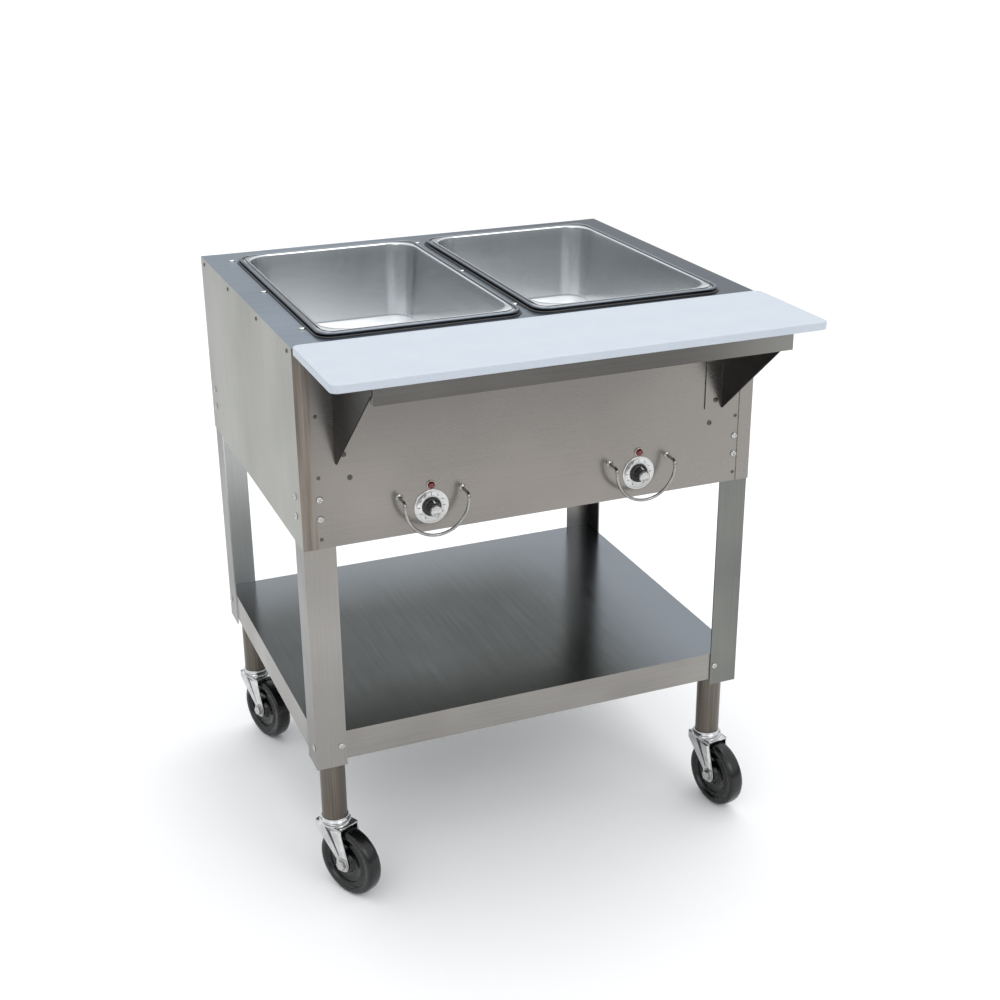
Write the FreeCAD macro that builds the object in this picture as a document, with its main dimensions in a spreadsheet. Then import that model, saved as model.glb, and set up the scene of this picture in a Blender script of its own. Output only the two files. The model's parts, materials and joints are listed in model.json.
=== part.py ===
import FreeCAD, Part
import os
import math
import Sketcher

# Two-well electric steam table on casters, all sizes in millimetres.
# X runs left to right, Y front to back, Z up from the floor.

V = FreeCAD.Vector
doc = FreeCAD.newDocument("steam_table")

# ---------------------------------------------------------------- sizes
SIZES = [
    ("body_w", 772.0, "width over the side panels"),
    ("body_d", 616.0, "depth of the heated body"),
    ("body_base", 634.0, "height of the body's bottom edge"),
    ("deck_z", 954.0, "height of the deck"),
    ("sheet", 1.2, "panel sheet thickness"),
    ("head_h", 3.0, "height of a bolt head"),
    ("y_front", -207.4, "front corner plane of the body"),
    ("wrap_w", 24.0, "side panel flange round each corner"),
    ("hem", 14.0, "bottom return flange of the panels"),
    ("deck_skirt", 22.0, "down-turned edge of the deck"),
    ("well_pitch", 346.0, "distance between the two wells"),
    ("well_y", 85.1, "middle of the wells"),
    ("cut_w", 310.0, "deck opening width"),
    ("cut_l", 515.0, "deck opening length"),
    ("cut_r", 52.0, "deck opening corner radius"),
    ("liner_w", 308.0, "liner outside width"),
    ("liner_l", 513.0, "liner outside length"),
    ("liner_t", 1.0, "liner sheet thickness"),
    ("liner_deep", 200.0, "liner depth below the deck"),
    ("lip_w", 7.0, "liner flange width on the deck"),
    ("seat_h", 7.2, "height of the pan seat above the deck"),
    ("pan_w", 325.0, "pan rim width"),
    ("pan_l", 530.0, "pan rim length"),
    ("pan_r", 25.0, "pan rim corner radius"),
    ("pan_top", 8.5, "pan rim height above the deck"),
    ("pan_deep", 150.0, "pan depth"),
    ("pan_bw", 301.0, "pan body width at the rim"),
    ("pan_bl", 506.0, "pan body length at the rim"),
    ("pan_br", 48.0, "pan body corner radius"),
    ("pan_t", 1.0, "pan sheet thickness"),
    ("pan_draft", 4.0, "pan wall draft in degrees"),
    ("bead", 5.0, "depth of the rolled rim bead"),
    ("board_d", 202.5, "cutting board depth"),
    ("board_gap", 0.5, "gap behind the cutting board"),
    ("board_th", 12.7, "cutting board thickness"),
    ("board_z", 946.3, "underside of the cutting board"),
    ("board_r", 12.0, "cutting board corner radius"),
    ("rail_w", 654.0, "board rail length"),
    ("rail_reach", 200.0, "board rail reach"),
    ("rail_z", 946.0, "top of the board rail"),
    ("rail_lip", 25.0, "board rail front lip"),
    ("rail_t", 1.5, "board rail thickness"),
    ("brk_x", 327.0, "inner face of a gusset bracket"),
    ("brk_t", 2.0, "gusset bracket thickness"),
    ("brk_h", 178.0, "gusset bracket height"),
    ("brk_reach", 194.0, "gusset bracket reach"),
    ("brk_flange", 30.0, "gusset bracket flange width"),
    ("leg_w", 50.8, "leg angle flange width"),
    ("leg_t", 2.5, "leg angle thickness"),
    ("leg_base", 246.0, "height of the leg's lower end"),
    ("leg_top", 864.0, "height of the leg's upper end"),
    ("shelf_z", 307.0, "top of the undershelf"),
    ("shelf_lip", 51.0, "undershelf lip height"),
    ("post_x", 352.0, "caster post distance from the middle"),
    ("post_in", 34.4, "caster post distance from the body's front"),
    ("post_r", 21.0, "caster post outer radius"),
    ("post_t", 2.0, "caster post wall"),
    ("post_base", 137.0, "lower end of the caster post"),
    ("wheel_r", 60.0, "caster wheel radius"),
    ("wheel_half", 14.0, "half of the caster tread width"),
    ("trail", 33.0, "caster trail"),
    ("axle_r", 6.0, "caster axle radius"),
    ("fork_in", 18.0, "half of the fork's inner gap"),
    ("fork_t", 2.5, "fork plate thickness"),
    ("pin_r", 8.0, "swivel pin radius"),
    ("knob_x", 179.0, "knob distance from the middle"),
    ("knob_z", 675.0, "knob height"),
    ("lamp_z", 711.0, "lamp height"),
    ("dial_r", 28.5, "dial plate radius"),
    ("guard_r", 52.0, "knob guard radius"),
    ("guard_out", 28.0, "knob guard distance from the panel"),
    ("guard_up", 15.0, "knob guard centre above the knob"),
    ("wire_r", 2.5, "knob guard wire radius"),
]
sheet = doc.addObject("Spreadsheet::Sheet", "dim")
val = {}
for row, (alias, number, note) in enumerate(SIZES, start=1):
    sheet.set("A%d" % row, alias)
    sheet.set("B%d" % row, str(number))
    sheet.set("C%d" % row, note)
    sheet.setAlias("B%d" % row, alias)
    val[alias] = number
sheet.Label = "sizes"
doc.recompute()


# ---------------------------------------------------------------- helpers
def bind(obj, prop, text):
    obj.setExpression(prop, text)


def at(obj, x="0", y="0", z="0"):
    bind(obj, "Placement.Base.x", x)
    bind(obj, "Placement.Base.y", y)
    bind(obj, "Placement.Base.z", z)
    return obj


def box(name, size, low):
    """Box from its three sizes and its low corner."""
    b = doc.addObject("Part::Box", name)
    bind(b, "Length", size[0])
    bind(b, "Width", size[1])
    bind(b, "Height", size[2])
    return at(b, *low)


TURN = {
    "+z": FreeCAD.Rotation(),
    "-z": FreeCAD.Rotation(V(1, 0, 0), 180),
    "+x": FreeCAD.Rotation(V(0, 1, 0), 90),
    "-x": FreeCAD.Rotation(V(0, 1, 0), -90),
    "+y": FreeCAD.Rotation(V(1, 0, 0), -90),
    "-y": FreeCAD.Rotation(V(1, 0, 0), 90),
}


def rod(name, radius, length, start, way="+z"):
    """Cylinder that starts at a point and runs one way."""
    c = doc.addObject("Part::Cylinder", name)
    c.Placement = FreeCAD.Placement(V(), TURN[way])
    bind(c, "Radius", radius)
    bind(c, "Height", length)
    return at(c, *start)


def cone(name, r1, r2, length, start, way="+z"):
    c = doc.addObject("Part::Cone", name)
    c.Placement = FreeCAD.Placement(V(), TURN[way])
    bind(c, "Radius1", r1)
    bind(c, "Radius2", r2)
    bind(c, "Height", length)
    return at(c, *start)


def fuse(name, shapes):
    f = doc.addObject("Part::MultiFuse", name)
    f.Shapes = shapes
    f.Refine = True
    return f


def cut(name, base, tools):
    c = doc.addObject("Part::Cut", name)
    c.Base = base
    if len(tools) == 1:
        c.Tool = tools[0]
    else:
        c.Tool = fuse(name + "_tools", tools)
    return c


def group(name, shapes):
    g = doc.addObject("Part::Compound", name)
    g.Links = shapes
    return g


def rounded_sketch(sk, w, d, r, seed):
    """Rounded rectangle about the sketch origin, sizes bound to the sheet."""
    hw, hd, rr = seed[0] / 2, seed[1] / 2, seed[2]
    line = Part.LineSegment
    sk.addGeometry(line(V(-hw + rr, -hd, 0), V(hw - rr, -hd, 0)), False)
    sk.addGeometry(line(V(hw, -hd + rr, 0), V(hw, hd - rr, 0)), False)
    sk.addGeometry(line(V(hw - rr, hd, 0), V(-hw + rr, hd, 0)), False)
    sk.addGeometry(line(V(-hw, hd - rr, 0), V(-hw, -hd + rr, 0)), False)
    corners = [
        (hw - rr, -hd + rr, -0.5, 0.0),
        (hw - rr, hd - rr, 0.0, 0.5),
        (-hw + rr, hd - rr, 0.5, 1.0),
        (-hw + rr, -hd + rr, 1.0, 1.5),
    ]
    for cx, cy, a, b in corners:
        ring = Part.Circle(V(cx, cy, 0), V(0, 0, 1), rr)
        sk.addGeometry(Part.ArcOfCircle(ring, a * math.pi, b * math.pi), False)
    con = Sketcher.Constraint
    for i in range(4):
        sk.addConstraint(con("Tangent", i, 2, 4 + i, 1))
        sk.addConstraint(con("Tangent", 4 + i, 2, (i + 1) % 4, 1))
    sk.addConstraint(con("Horizontal", 0))
    sk.addConstraint(con("Vertical", 1))
    sk.addConstraint(con("Horizontal", 2))
    sk.addConstraint(con("Vertical", 3))
    for i in range(3):
        sk.addConstraint(con("Equal", 4, 5 + i))
    n = sk.addConstraint(con("Radius", 4, rr))
    bind(sk, "Constraints[%d]" % n, r)
    low = sk.addConstraint(con("DistanceY", 0, 1, -1, 1, hd))
    bind(sk, "Constraints[%d]" % low, "(%s) / 2" % d)
    high = sk.addConstraint(con("DistanceY", -1, 1, 2, 1, hd))
    bind(sk, "Constraints[%d]" % high, "(%s) / 2" % d)
    left = sk.addConstraint(con("DistanceX", 3, 1, -1, 1, hw))
    bind(sk, "Constraints[%d]" % left, "(%s) / 2" % w)
    right = sk.addConstraint(con("DistanceX", -1, 1, 1, 1, hw))
    bind(sk, "Constraints[%d]" % right, "(%s) / 2" % w)


def polygon_sketch(sk, points):
    """Closed polygon whose corners are bound to the sheet, (x, y, seed x, seed y)."""
    n = len(points)
    for i in range(n):
        a, b = points[i], points[(i + 1) % n]
        sk.addGeometry(Part.LineSegment(V(a[2], a[3], 0), V(b[2], b[3], 0)), False)
    for i in range(n):
        sk.addConstraint(Sketcher.Constraint("Coincident", i, 2, (i + 1) % n, 1))
    for i, (x, y, sx, sy) in enumerate(points):
        k = sk.addConstraint(Sketcher.Constraint("DistanceX", -1, 1, i, 1, sx))
        bind(sk, "Constraints[%d]" % k, x)
        k = sk.addConstraint(Sketcher.Constraint("DistanceY", -1, 1, i, 1, sy))
        bind(sk, "Constraints[%d]" % k, y)


def body_sketch(name, plane="XY_Plane"):
    """Empty PartDesign body with one sketch on its own origin plane."""
    body = doc.addObject("PartDesign::Body", name)
    sk = body.newObject("Sketcher::SketchObject", name + "_sketch")
    face = [f for f in body.Origin.OriginFeatures if f.Name.startswith(plane)][0]
    sk.AttachmentSupport = [(face, "")]
    sk.MapMode = "FlatFace"
    return body, sk


def slab(name, w, d, r, h, low, seed, draft=None):
    """Rounded slab padded up (or down when drafted) from a point."""
    body, sk = body_sketch(name)
    rounded_sketch(sk, w, d, r, seed)
    pad = body.newObject("PartDesign::Pad", name + "_pad")
    pad.Profile = sk
    bind(pad, "Length", h)
    if draft is not None:
        pad.Reversed = True
        bind(pad, "TaperAngle", draft)
    body.Tip = pad
    return at(body, *low)


def bent(name, points, h, low, turn=None, mirror=False):
    """Polygon section padded along its own normal."""
    body, sk = body_sketch(name)
    polygon_sketch(sk, points)
    pad = body.newObject("PartDesign::Pad", name + "_pad")
    pad.Profile = sk
    bind(pad, "Length", h)
    body.Tip = pad
    if turn is not None:
        body.Placement = FreeCAD.Placement(V(), turn)
    return at(body, *low)


SIDES = [("left", -1), ("right", 1)]
CORNERS = [("front_left", -1, -1), ("front_right", 1, -1), ("rear_left", -1, 1), ("rear_right", 1, 1)]
Y_BACK = "(dim.y_front + dim.body_d)"


def cx(sign):
    """Middle of a well."""
    return "%d * dim.well_pitch / 2" % sign


def inset_x(sign, inset):
    """X at a distance in from a body side."""
    return "%d * (dim.body_w / 2 - (%s))" % (sign, inset)


def inset_y(sign, inset):
    """Y at a distance in from the body's front or back."""
    if sign < 0:
        return "dim.y_front + (%s)" % inset
    return "dim.y_front + dim.body_d - (%s)" % inset


# ---------------------------------------------------------------- fasteners
def fastener(name, place, way, head_r, head_h, shank_r, reach, nut_r=None, nut_h="4", grip="4"):
    """Head on the outside, shank running inwards, nut inside when there is one."""
    back = {"+x": "-x", "-x": "+x", "+y": "-y", "-y": "+y", "+z": "-z", "-z": "+z"}[way]
    bits = [
        cone(name + "_head", head_r, "(%s) * 0.7" % head_r, head_h, place, back),
        rod(name + "_shank", shank_r, reach, place, way),
    ]
    if nut_r is not None:
        axis = {"x": 0, "y": 1, "z": 2}[way[1]]
        spot = list(place)
        spot[axis] = "(%s) %s (%s)" % (place[axis], way[0], grip)
        nut = doc.addObject("Part::Prism", name + "_nut")
        nut.Polygon = 6
        nut.Placement = FreeCAD.Placement(V(), TURN[way])
        bind(nut, "Circumradius", nut_r)
        bind(nut, "Height", nut_h)
        at(nut, *spot)
        bits.append(nut)
    return fuse(name, bits)


def hole(name, place, way, radius, depth="12"):
    """Clearance hole through the sheets a fastener joins."""
    axis = {"x": 0, "y": 1, "z": 2}[way[1]]
    spot = list(place)
    spot[axis] = "(%s) %s 2" % (place[axis], "-" if way[0] == "+" else "+")
    return rod(name, radius, depth, spot, way)


FACE_Y = {-1: "dim.y_front + dim.sheet", 1: Y_BACK + " - dim.sheet"}
INWARD = {-1: "+y", 1: "-y"}
leg_bolts, leg_holes = [], []
for tag, sx, sy in CORNERS:
    for k, up in enumerate(("48", "80")):
        z = "dim.body_base + " + up
        front = (inset_x(sx, "30"), FACE_Y[sy], z)
        side = ("%d * dim.body_w / 2" % sx, inset_y(sy, "30"), z)
        inward = "+x" if sx < 0 else "-x"
        grip = "dim.sheet + dim.leg_t"
        for part, place, way in (("f", front, INWARD[sy]), ("s", side, inward)):
            name = "leg_bolt_%s_%s%d" % (tag, part, k)
            leg_bolts.append(fastener(name, place, way, "5.5", "dim.head_h", "2.8", "11", "5.5", "4", grip))
            leg_holes.append(hole(name + "_hole", place, way, "3"))

rivets, rivet_holes = [], []
for name_side, sx in SIDES:
    for k, y in enumerate(("25", "210", "406", "591")):
        place = ("%d * dim.body_w / 2" % sx, "dim.y_front + " + y, "dim.deck_z - 10")
        way = "+x" if sx < 0 else "-x"
        name = "rivet_%s_%d" % (name_side, k)
        rivets.append(fastener(name, place, way, "3.6", "1.5", "2", "4"))
        rivet_holes.append(hole(name + "_hole", place, way, "2.2", "8"))
for tag, sx, sy in CORNERS:
    for k, up in enumerate(("15", "115", "212")):
        place = (inset_x(sx, "30"), FACE_Y[sy], "dim.body_base + " + up)
        name = "rivet_%s_%d" % (tag, k)
        rivets.append(fastener(name, place, INWARD[sy], "3", "1.2", "2", "5"))
        rivet_holes.append(hole(name + "_hole", place, INWARD[sy], "2.2", "9"))

deck_screws, deck_holes = [], []
for i, x in enumerate(("-344", "0", "344")):
    for k, y in enumerate(("93", "326", "556")):
        place = (x, "dim.y_front + " + y, "dim.deck_z")
        name = "deck_screw_%d_%d" % (i, k)
        deck_screws.append(fastener(name, place, "-z", "4.5", "2.2", "2", "9"))
        deck_holes.append(hole(name + "_hole", place, "-z", "2.2", "5"))

shelf_bolts, shelf_holes = [], []
for tag, sx, sy in CORNERS:
    z = "dim.shelf_z - 25"
    front = (inset_x(sx, "44"), inset_y(sy, "dim.sheet * 2"), z)
    side = (inset_x(sx, "dim.sheet"), inset_y(sy, "14"), z)
    inward = "+x" if sx < 0 else "-x"
    for part, place, way in (("f", front, INWARD[sy]), ("s", side, inward)):
        name = "shelf_bolt_%s_%s" % (tag, part)
        shelf_bolts.append(fastener(name, place, way, "4.5", "2.2", "2.4", "5.5"))
        shelf_holes.append(hole(name + "_hole", place, way, "2.6", "10"))

bracket_screws, bracket_holes = [], []
for name_side, sx in SIDES:
    for k, (inset, up, lift) in enumerate((("70", "148", "2"), ("70", "270", "2"), ("78.5", "109", "0"))):
        place = (inset_x(sx, inset), "dim.y_front + dim.sheet - %s" % lift, "dim.body_base + " + up)
        name = "bracket_screw_%s_%d" % (name_side, k)
        bracket_screws.append(fastener(name, place, "+y", "4", "2", "2", "8"))
        bracket_holes.append(hole(name + "_hole", place, "+y", "2.2", "10"))

groups = [
    ("panel_bolts", leg_bolts),
    ("body_rivets", rivets),
    ("deck_screws", deck_screws),
    ("shelf_bolts", shelf_bolts),
    ("bracket_screws", bracket_screws),
]
nodes = []
for name, items in groups:
    nodes.append(group(name, items))


def drill(name, base, holes):
    """Sheet with its fastener holes cut."""
    return cut(name, base, [group(name + "_drill", holes)])


# ---------------------------------------------------------------- body sheets
deck_skin = box("deck_skin", ("dim.body_w - 2 * dim.sheet", "dim.body_d - 4 * dim.sheet", "dim.deck_skirt"),
                (inset_x(-1, "dim.sheet"), "dim.y_front + 2 * dim.sheet", "dim.deck_z - dim.deck_skirt"))
deck_hollow = box("deck_hollow", ("dim.body_w - 4 * dim.sheet", "dim.body_d - 6 * dim.sheet", "dim.deck_skirt"),
                  (inset_x(-1, "2 * dim.sheet"), "dim.y_front + 3 * dim.sheet",
                   "dim.deck_z - dim.sheet - dim.deck_skirt"))
deck_cuts = [deck_hollow]
for side, sx in SIDES:
    deck_cuts.append(slab("deck_cut_" + side, "dim.cut_w", "dim.cut_l", "dim.cut_r", "10",
                          (cx(sx), "dim.well_y", "dim.deck_z - 5"), (310, 515, 52)))
nodes.append(drill("deck_top", cut("deck_sheet", deck_skin, deck_cuts), deck_holes + rivet_holes))

for tag, sy in (("front", -1), ("back", 1)):
    plate_y = "dim.y_front + dim.sheet" if sy < 0 else Y_BACK + " - 2 * dim.sheet"
    hem_y = "dim.y_front + dim.sheet" if sy < 0 else Y_BACK + " - dim.sheet - dim.hem"
    plate = box(tag + "_plate", ("dim.body_w - 2 * dim.sheet", "dim.sheet", "dim.deck_z - dim.body_base"),
                (inset_x(-1, "dim.sheet"), plate_y, "dim.body_base"))
    hem = box(tag + "_hem", ("dim.body_w - 116", "dim.hem", "dim.sheet"),
              (inset_x(-1, "58"), hem_y, "dim.body_base"))
    holes = leg_holes + rivet_holes
    if sy < 0:
        holes = holes + bracket_holes
        for side, sx in SIDES:
            x = "%d * dim.knob_x" % sx
            holes.append(rod("bush_hole_" + side, "5.2", "12", (x, "dim.y_front - 4", "dim.knob_z"), "+y"))
            holes.append(rod("lamp_hole_" + side, "5.2", "12", (x, "dim.y_front - 4", "dim.lamp_z"), "+y"))
    nodes.append(drill(tag + "_panel", fuse(tag + "_sheet", [plate, hem]), holes))

for side, sx in SIDES:
    x_plate = "-dim.body_w / 2" if sx < 0 else "dim.body_w / 2 - dim.sheet"
    x_wrap = "-dim.body_w / 2" if sx < 0 else "dim.body_w / 2 - dim.wrap_w"
    x_hem = "-dim.body_w / 2" if sx < 0 else "dim.body_w / 2 - dim.hem"
    tall = "dim.deck_z - dim.body_base"
    bits = [
        box("side_plate_" + side, ("dim.sheet", "dim.body_d", tall), (x_plate, "dim.y_front", "dim.body_base")),
        box("wrap_front_" + side, ("dim.wrap_w", "dim.sheet", tall), (x_wrap, "dim.y_front", "dim.body_base")),
        box("wrap_back_" + side, ("dim.wrap_w", "dim.sheet", tall),
            (x_wrap, Y_BACK + " - dim.sheet", "dim.body_base")),
        box("side_hem_" + side, ("dim.hem", "dim.body_d - 116", "dim.sheet"),
            (x_hem, "dim.y_front + 58", "dim.body_base")),
    ]
    nodes.append(drill("side_panel_" + side, fuse("side_sheet_" + side, bits), leg_holes + rivet_holes))

floor_plate = box("floor_plate", ("dim.body_w - 2 * dim.sheet - 0.4", "dim.body_d - 4 * dim.sheet - 0.4", "dim.sheet"),
                  (inset_x(-1, "dim.sheet + 0.2"), "dim.y_front + 2 * dim.sheet + 0.2", "dim.body_base + dim.sheet"))
floor_cuts = []
for tag, sx, sy in CORNERS:
    x = inset_x(-1, "0") if sx < 0 else inset_x(1, "55")
    y = "dim.y_front" if sy < 0 else Y_BACK + " - 55"
    floor_cuts.append(box("floor_notch_" + tag, ("55", "55", "6"), (x, y, "dim.body_base")))
gland_x = "dim.body_w / 2 - 130"
gland_y = Y_BACK + " - 90"
floor_cuts.append(rod("gland_hole", "10.5", "8", (gland_x, gland_y, "dim.body_base - 1"), "+z"))
nodes.append(cut("bottom_pan", floor_plate, floor_cuts))

# ---------------------------------------------------------------- legs and shelf
for tag, sx, sy in CORNERS:
    x0 = inset_x(sx, "dim.sheet")
    y0 = inset_y(sy, "2 * dim.sheet")
    w, t = "dim.leg_w", "dim.leg_t"
    wn, tn = 50.8, 2.5
    pts = [("0", "0"), (w, "0"), (w, t), (t, t), (t, w), ("0", w)]
    seed = [(0, 0), (wn, 0), (wn, tn), (tn, tn), (tn, wn), (0, wn)]
    corner = []
    for (px, py), (a, b) in zip(pts, seed):
        corner.append(("%d * %s" % (-sx, px), "%d * %s" % (-sy, py), -sx * a, -sy * b))
    leg = bent("leg_angle_" + tag, corner, "dim.leg_top - dim.leg_base", (x0, y0, "dim.leg_base"))
    nodes.append(drill("leg_" + tag, leg, leg_holes + rivet_holes + shelf_holes))

inner = "(dim.sheet + dim.leg_t)"
shelf_skin = box("shelf_skin", ("dim.body_w - 2 * " + inner, "dim.body_d - 2 * (2 * dim.sheet + dim.leg_t)",
                                "dim.shelf_lip"),
                 (inset_x(-1, inner), "dim.y_front + 2 * dim.sheet + dim.leg_t", "dim.shelf_z - dim.shelf_lip"))
shelf_hollow = box("shelf_hollow",
                   ("dim.body_w - 2 * %s - 2 * dim.sheet" % inner,
                    "dim.body_d - 2 * (2 * dim.sheet + dim.leg_t) - 2 * dim.sheet", "dim.shelf_lip"),
                   (inset_x(-1, inner + " + dim.sheet"), "dim.y_front + 3 * dim.sheet + dim.leg_t",
                    "dim.shelf_z - dim.shelf_lip - dim.sheet"))
nodes.append(drill("undershelf", cut("shelf_sheet", shelf_skin, [shelf_hollow]), shelf_holes))

# ---------------------------------------------------------------- board rail and brackets
rail_y = "dim.y_front + dim.sheet - dim.rail_reach"
rail_bits = [
    box("rail_plate", ("dim.rail_w", "dim.rail_reach", "dim.rail_t"),
        ("-dim.rail_w / 2", rail_y, "dim.rail_z - dim.rail_t")),
    box("rail_front_lip", ("dim.rail_w", "dim.rail_t", "dim.rail_lip"),
        ("-dim.rail_w / 2", rail_y, "dim.rail_z - dim.rail_lip")),
]
for side, sx in SIDES:
    x = "-dim.rail_w / 2" if sx < 0 else "dim.rail_w / 2 - dim.rail_t"
    rail_bits.append(box("rail_return_" + side, ("dim.rail_t", "16", "dim.rail_lip"),
                         (x, rail_y, "dim.rail_z - dim.rail_lip")))
nodes.append(fuse("board_support_rail", rail_bits))

for side, sx in SIDES:
    # side view: Y grows away from the panel, X of the sketch is the reach
    pts = [
        ("0", "0", 0, 0),
        ("0", "-dim.brk_h", 0, -178),
        ("-4", "-dim.brk_h", -4, -178),
        ("-dim.brk_reach", "-12", -194, -12),
        ("-dim.brk_reach", "0", -194, 0),
    ]
    body, sk = body_sketch("bracket_web_" + side, "YZ_Plane")
    polygon_sketch(sk, pts)
    pad = body.newObject("PartDesign::Pad", "bracket_pad_" + side)
    pad.Profile = sk
    bind(pad, "Length", "dim.brk_t")
    body.Tip = pad
    x_web = "dim.brk_x" if sx > 0 else "-dim.brk_x - dim.brk_t"
    at(body, x_web, "dim.y_front + dim.sheet", "dim.rail_z")
    x_fl = "dim.brk_x - dim.brk_flange" if sx > 0 else "-dim.brk_x - dim.brk_t"
    flange = box("bracket_flange_" + side, ("dim.brk_flange + dim.brk_t", "2", "dim.brk_h - 26"),
                 (x_fl, "dim.y_front + dim.sheet - 2", "dim.rail_z - dim.brk_h"))
    nodes.append(drill("board_bracket_" + side, fuse("bracket_" + side, [body, flange]), bracket_holes))

# ---------------------------------------------------------------- wells
for side, sx in SIDES:
    x = cx(sx)
    y = "dim.well_y"
    low = "dim.deck_z - dim.liner_deep"
    seed = (308, 513, 51)
    wall = slab("liner_outer_" + side, "dim.liner_w", "dim.liner_l", "dim.cut_r - 1",
                "dim.liner_deep + dim.seat_h", (x, y, low), seed)
    lip = slab("liner_flange_" + side, "dim.liner_w + 2 * dim.lip_w", "dim.liner_l + 2 * dim.lip_w", "dim.cut_r + 6",
               "dim.liner_t", (x, y, "dim.deck_z"), (322, 527, 58))
    bead = slab("liner_bead_" + side, "dim.liner_w + 4", "dim.liner_l + 4", "dim.cut_r + 1",
                "dim.seat_h", (x, y, "dim.deck_z"), (312, 517, 53))
    inner_cut = slab("liner_inner_" + side, "dim.liner_w - 2 * dim.liner_t", "dim.liner_l - 2 * dim.liner_t",
                     "dim.cut_r - 2", "dim.liner_deep + 20", (x, y, low + " + dim.liner_t"), (306, 511, 50))
    tools = [inner_cut]
    for k, dx in enumerate((-60, 60)):
        tools.append(rod("liner_port_%s_%d" % (side, k), "5", "10",
                         (x + " + %d" % dx, "dim.y_front + 70", low + " - 5"), "+z"))
    nodes.append(cut("well_liner_" + side, fuse("liner_solid_" + side, [wall, lip, bead]), tools))

blanket = box("blanket", ("704", "dim.body_d - 46", "215"), ("-352", "dim.y_front + 20", "734"))
pockets = []
for side, sx in SIDES:
    pockets.append(slab("blanket_pocket_" + side, "dim.liner_w + 1", "dim.liner_l + 1", "dim.cut_r - 0.5", "260",
                        (cx(sx), "dim.well_y", "dim.deck_z - dim.liner_deep - 0.3"), (309, 514, 51.5)))
    for k, dx in enumerate((-60, 60)):
        pockets.append(rod("blanket_port_%s_%d" % (side, k), "5", "60",
                           (cx(sx) + " + %d" % dx, "dim.y_front + 70", "719"), "+z"))
for i, x in enumerate(("-344", "0", "344")):
    for k, y in enumerate(("93", "326", "556")):
        pockets.append(rod("blanket_relief_%d_%d" % (i, k), "4", "20", (x, "dim.y_front + " + y, "934"), "+z"))
nodes.append(cut("well_insulation", blanket, pockets))


def bend(name, ring_r, tube_r, place, turn, sweep):
    """Bent length of round bar, swept about the axis the turn gives."""
    b = doc.addObject("Part::Torus", name)
    b.Placement = FreeCAD.Placement(V(), turn)
    bind(b, "Radius1", ring_r)
    bind(b, "Radius2", tube_r)
    b.Angle3 = sweep
    return at(b, *place)


for side, sx in SIDES:
    # rectangular loop of tube standing clear of the well floor, tails through the floor
    bits = []
    z = "dim.deck_z - dim.liner_deep + 18"
    half_w, half_l, r = 95, 185, 40
    for k, (dx, dy, a) in enumerate(((1, 1, 0), (-1, 1, 90), (-1, -1, 180), (1, -1, 270))):
        turn = FreeCAD.Rotation(V(0, 0, 1), a)
        bits.append(bend("element_bend_%s_%d" % (side, k), str(r), "4",
                         ("%s + %d" % (cx(sx), dx * (half_w - r)), "dim.well_y + %d" % (dy * (half_l - r)), z),
                         turn, 90))
    for k, dx in enumerate((-1, 1)):
        bits.append(rod("element_run_%s_%d" % (side, k), "4", str(2 * (half_l - r)),
                        ("%s + %d" % (cx(sx), dx * half_w), "dim.well_y - %d" % (half_l - r), z), "+y"))
    bits.append(rod("element_back_" + side, "4", str(2 * (half_w - r)),
                    ("%s - %d" % (cx(sx), half_w - r), "dim.well_y + %d" % half_l, z), "+x"))
    bits.append(rod("element_front_" + side, "4", str(2 * (half_w - r)),
                    ("%s - %d" % (cx(sx), half_w - r), "dim.well_y - %d" % half_l, z), "+x"))
    for k, dx in enumerate((-60, 60)):
        x = cx(sx) + " + %d" % dx
        way = "dim.y_front + 70"
        bits.append(rod("element_tail_%s_%d" % (side, k), "4", "60", (x, way, z + " - 60"), "+z"))
        bits.append(rod("element_feed_%s_%d" % (side, k), "4", "dim.well_y - %d - (%s)" % (half_l, way),
                        (x, way, z), "+y"))
        ball = doc.addObject("Part::Sphere", "element_elbow_%s_%d" % (side, k))
        ball.Radius = 4
        bits.append(at(ball, x, way, z))
    nodes.append(fuse("heating_element_" + side, bits))

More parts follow.
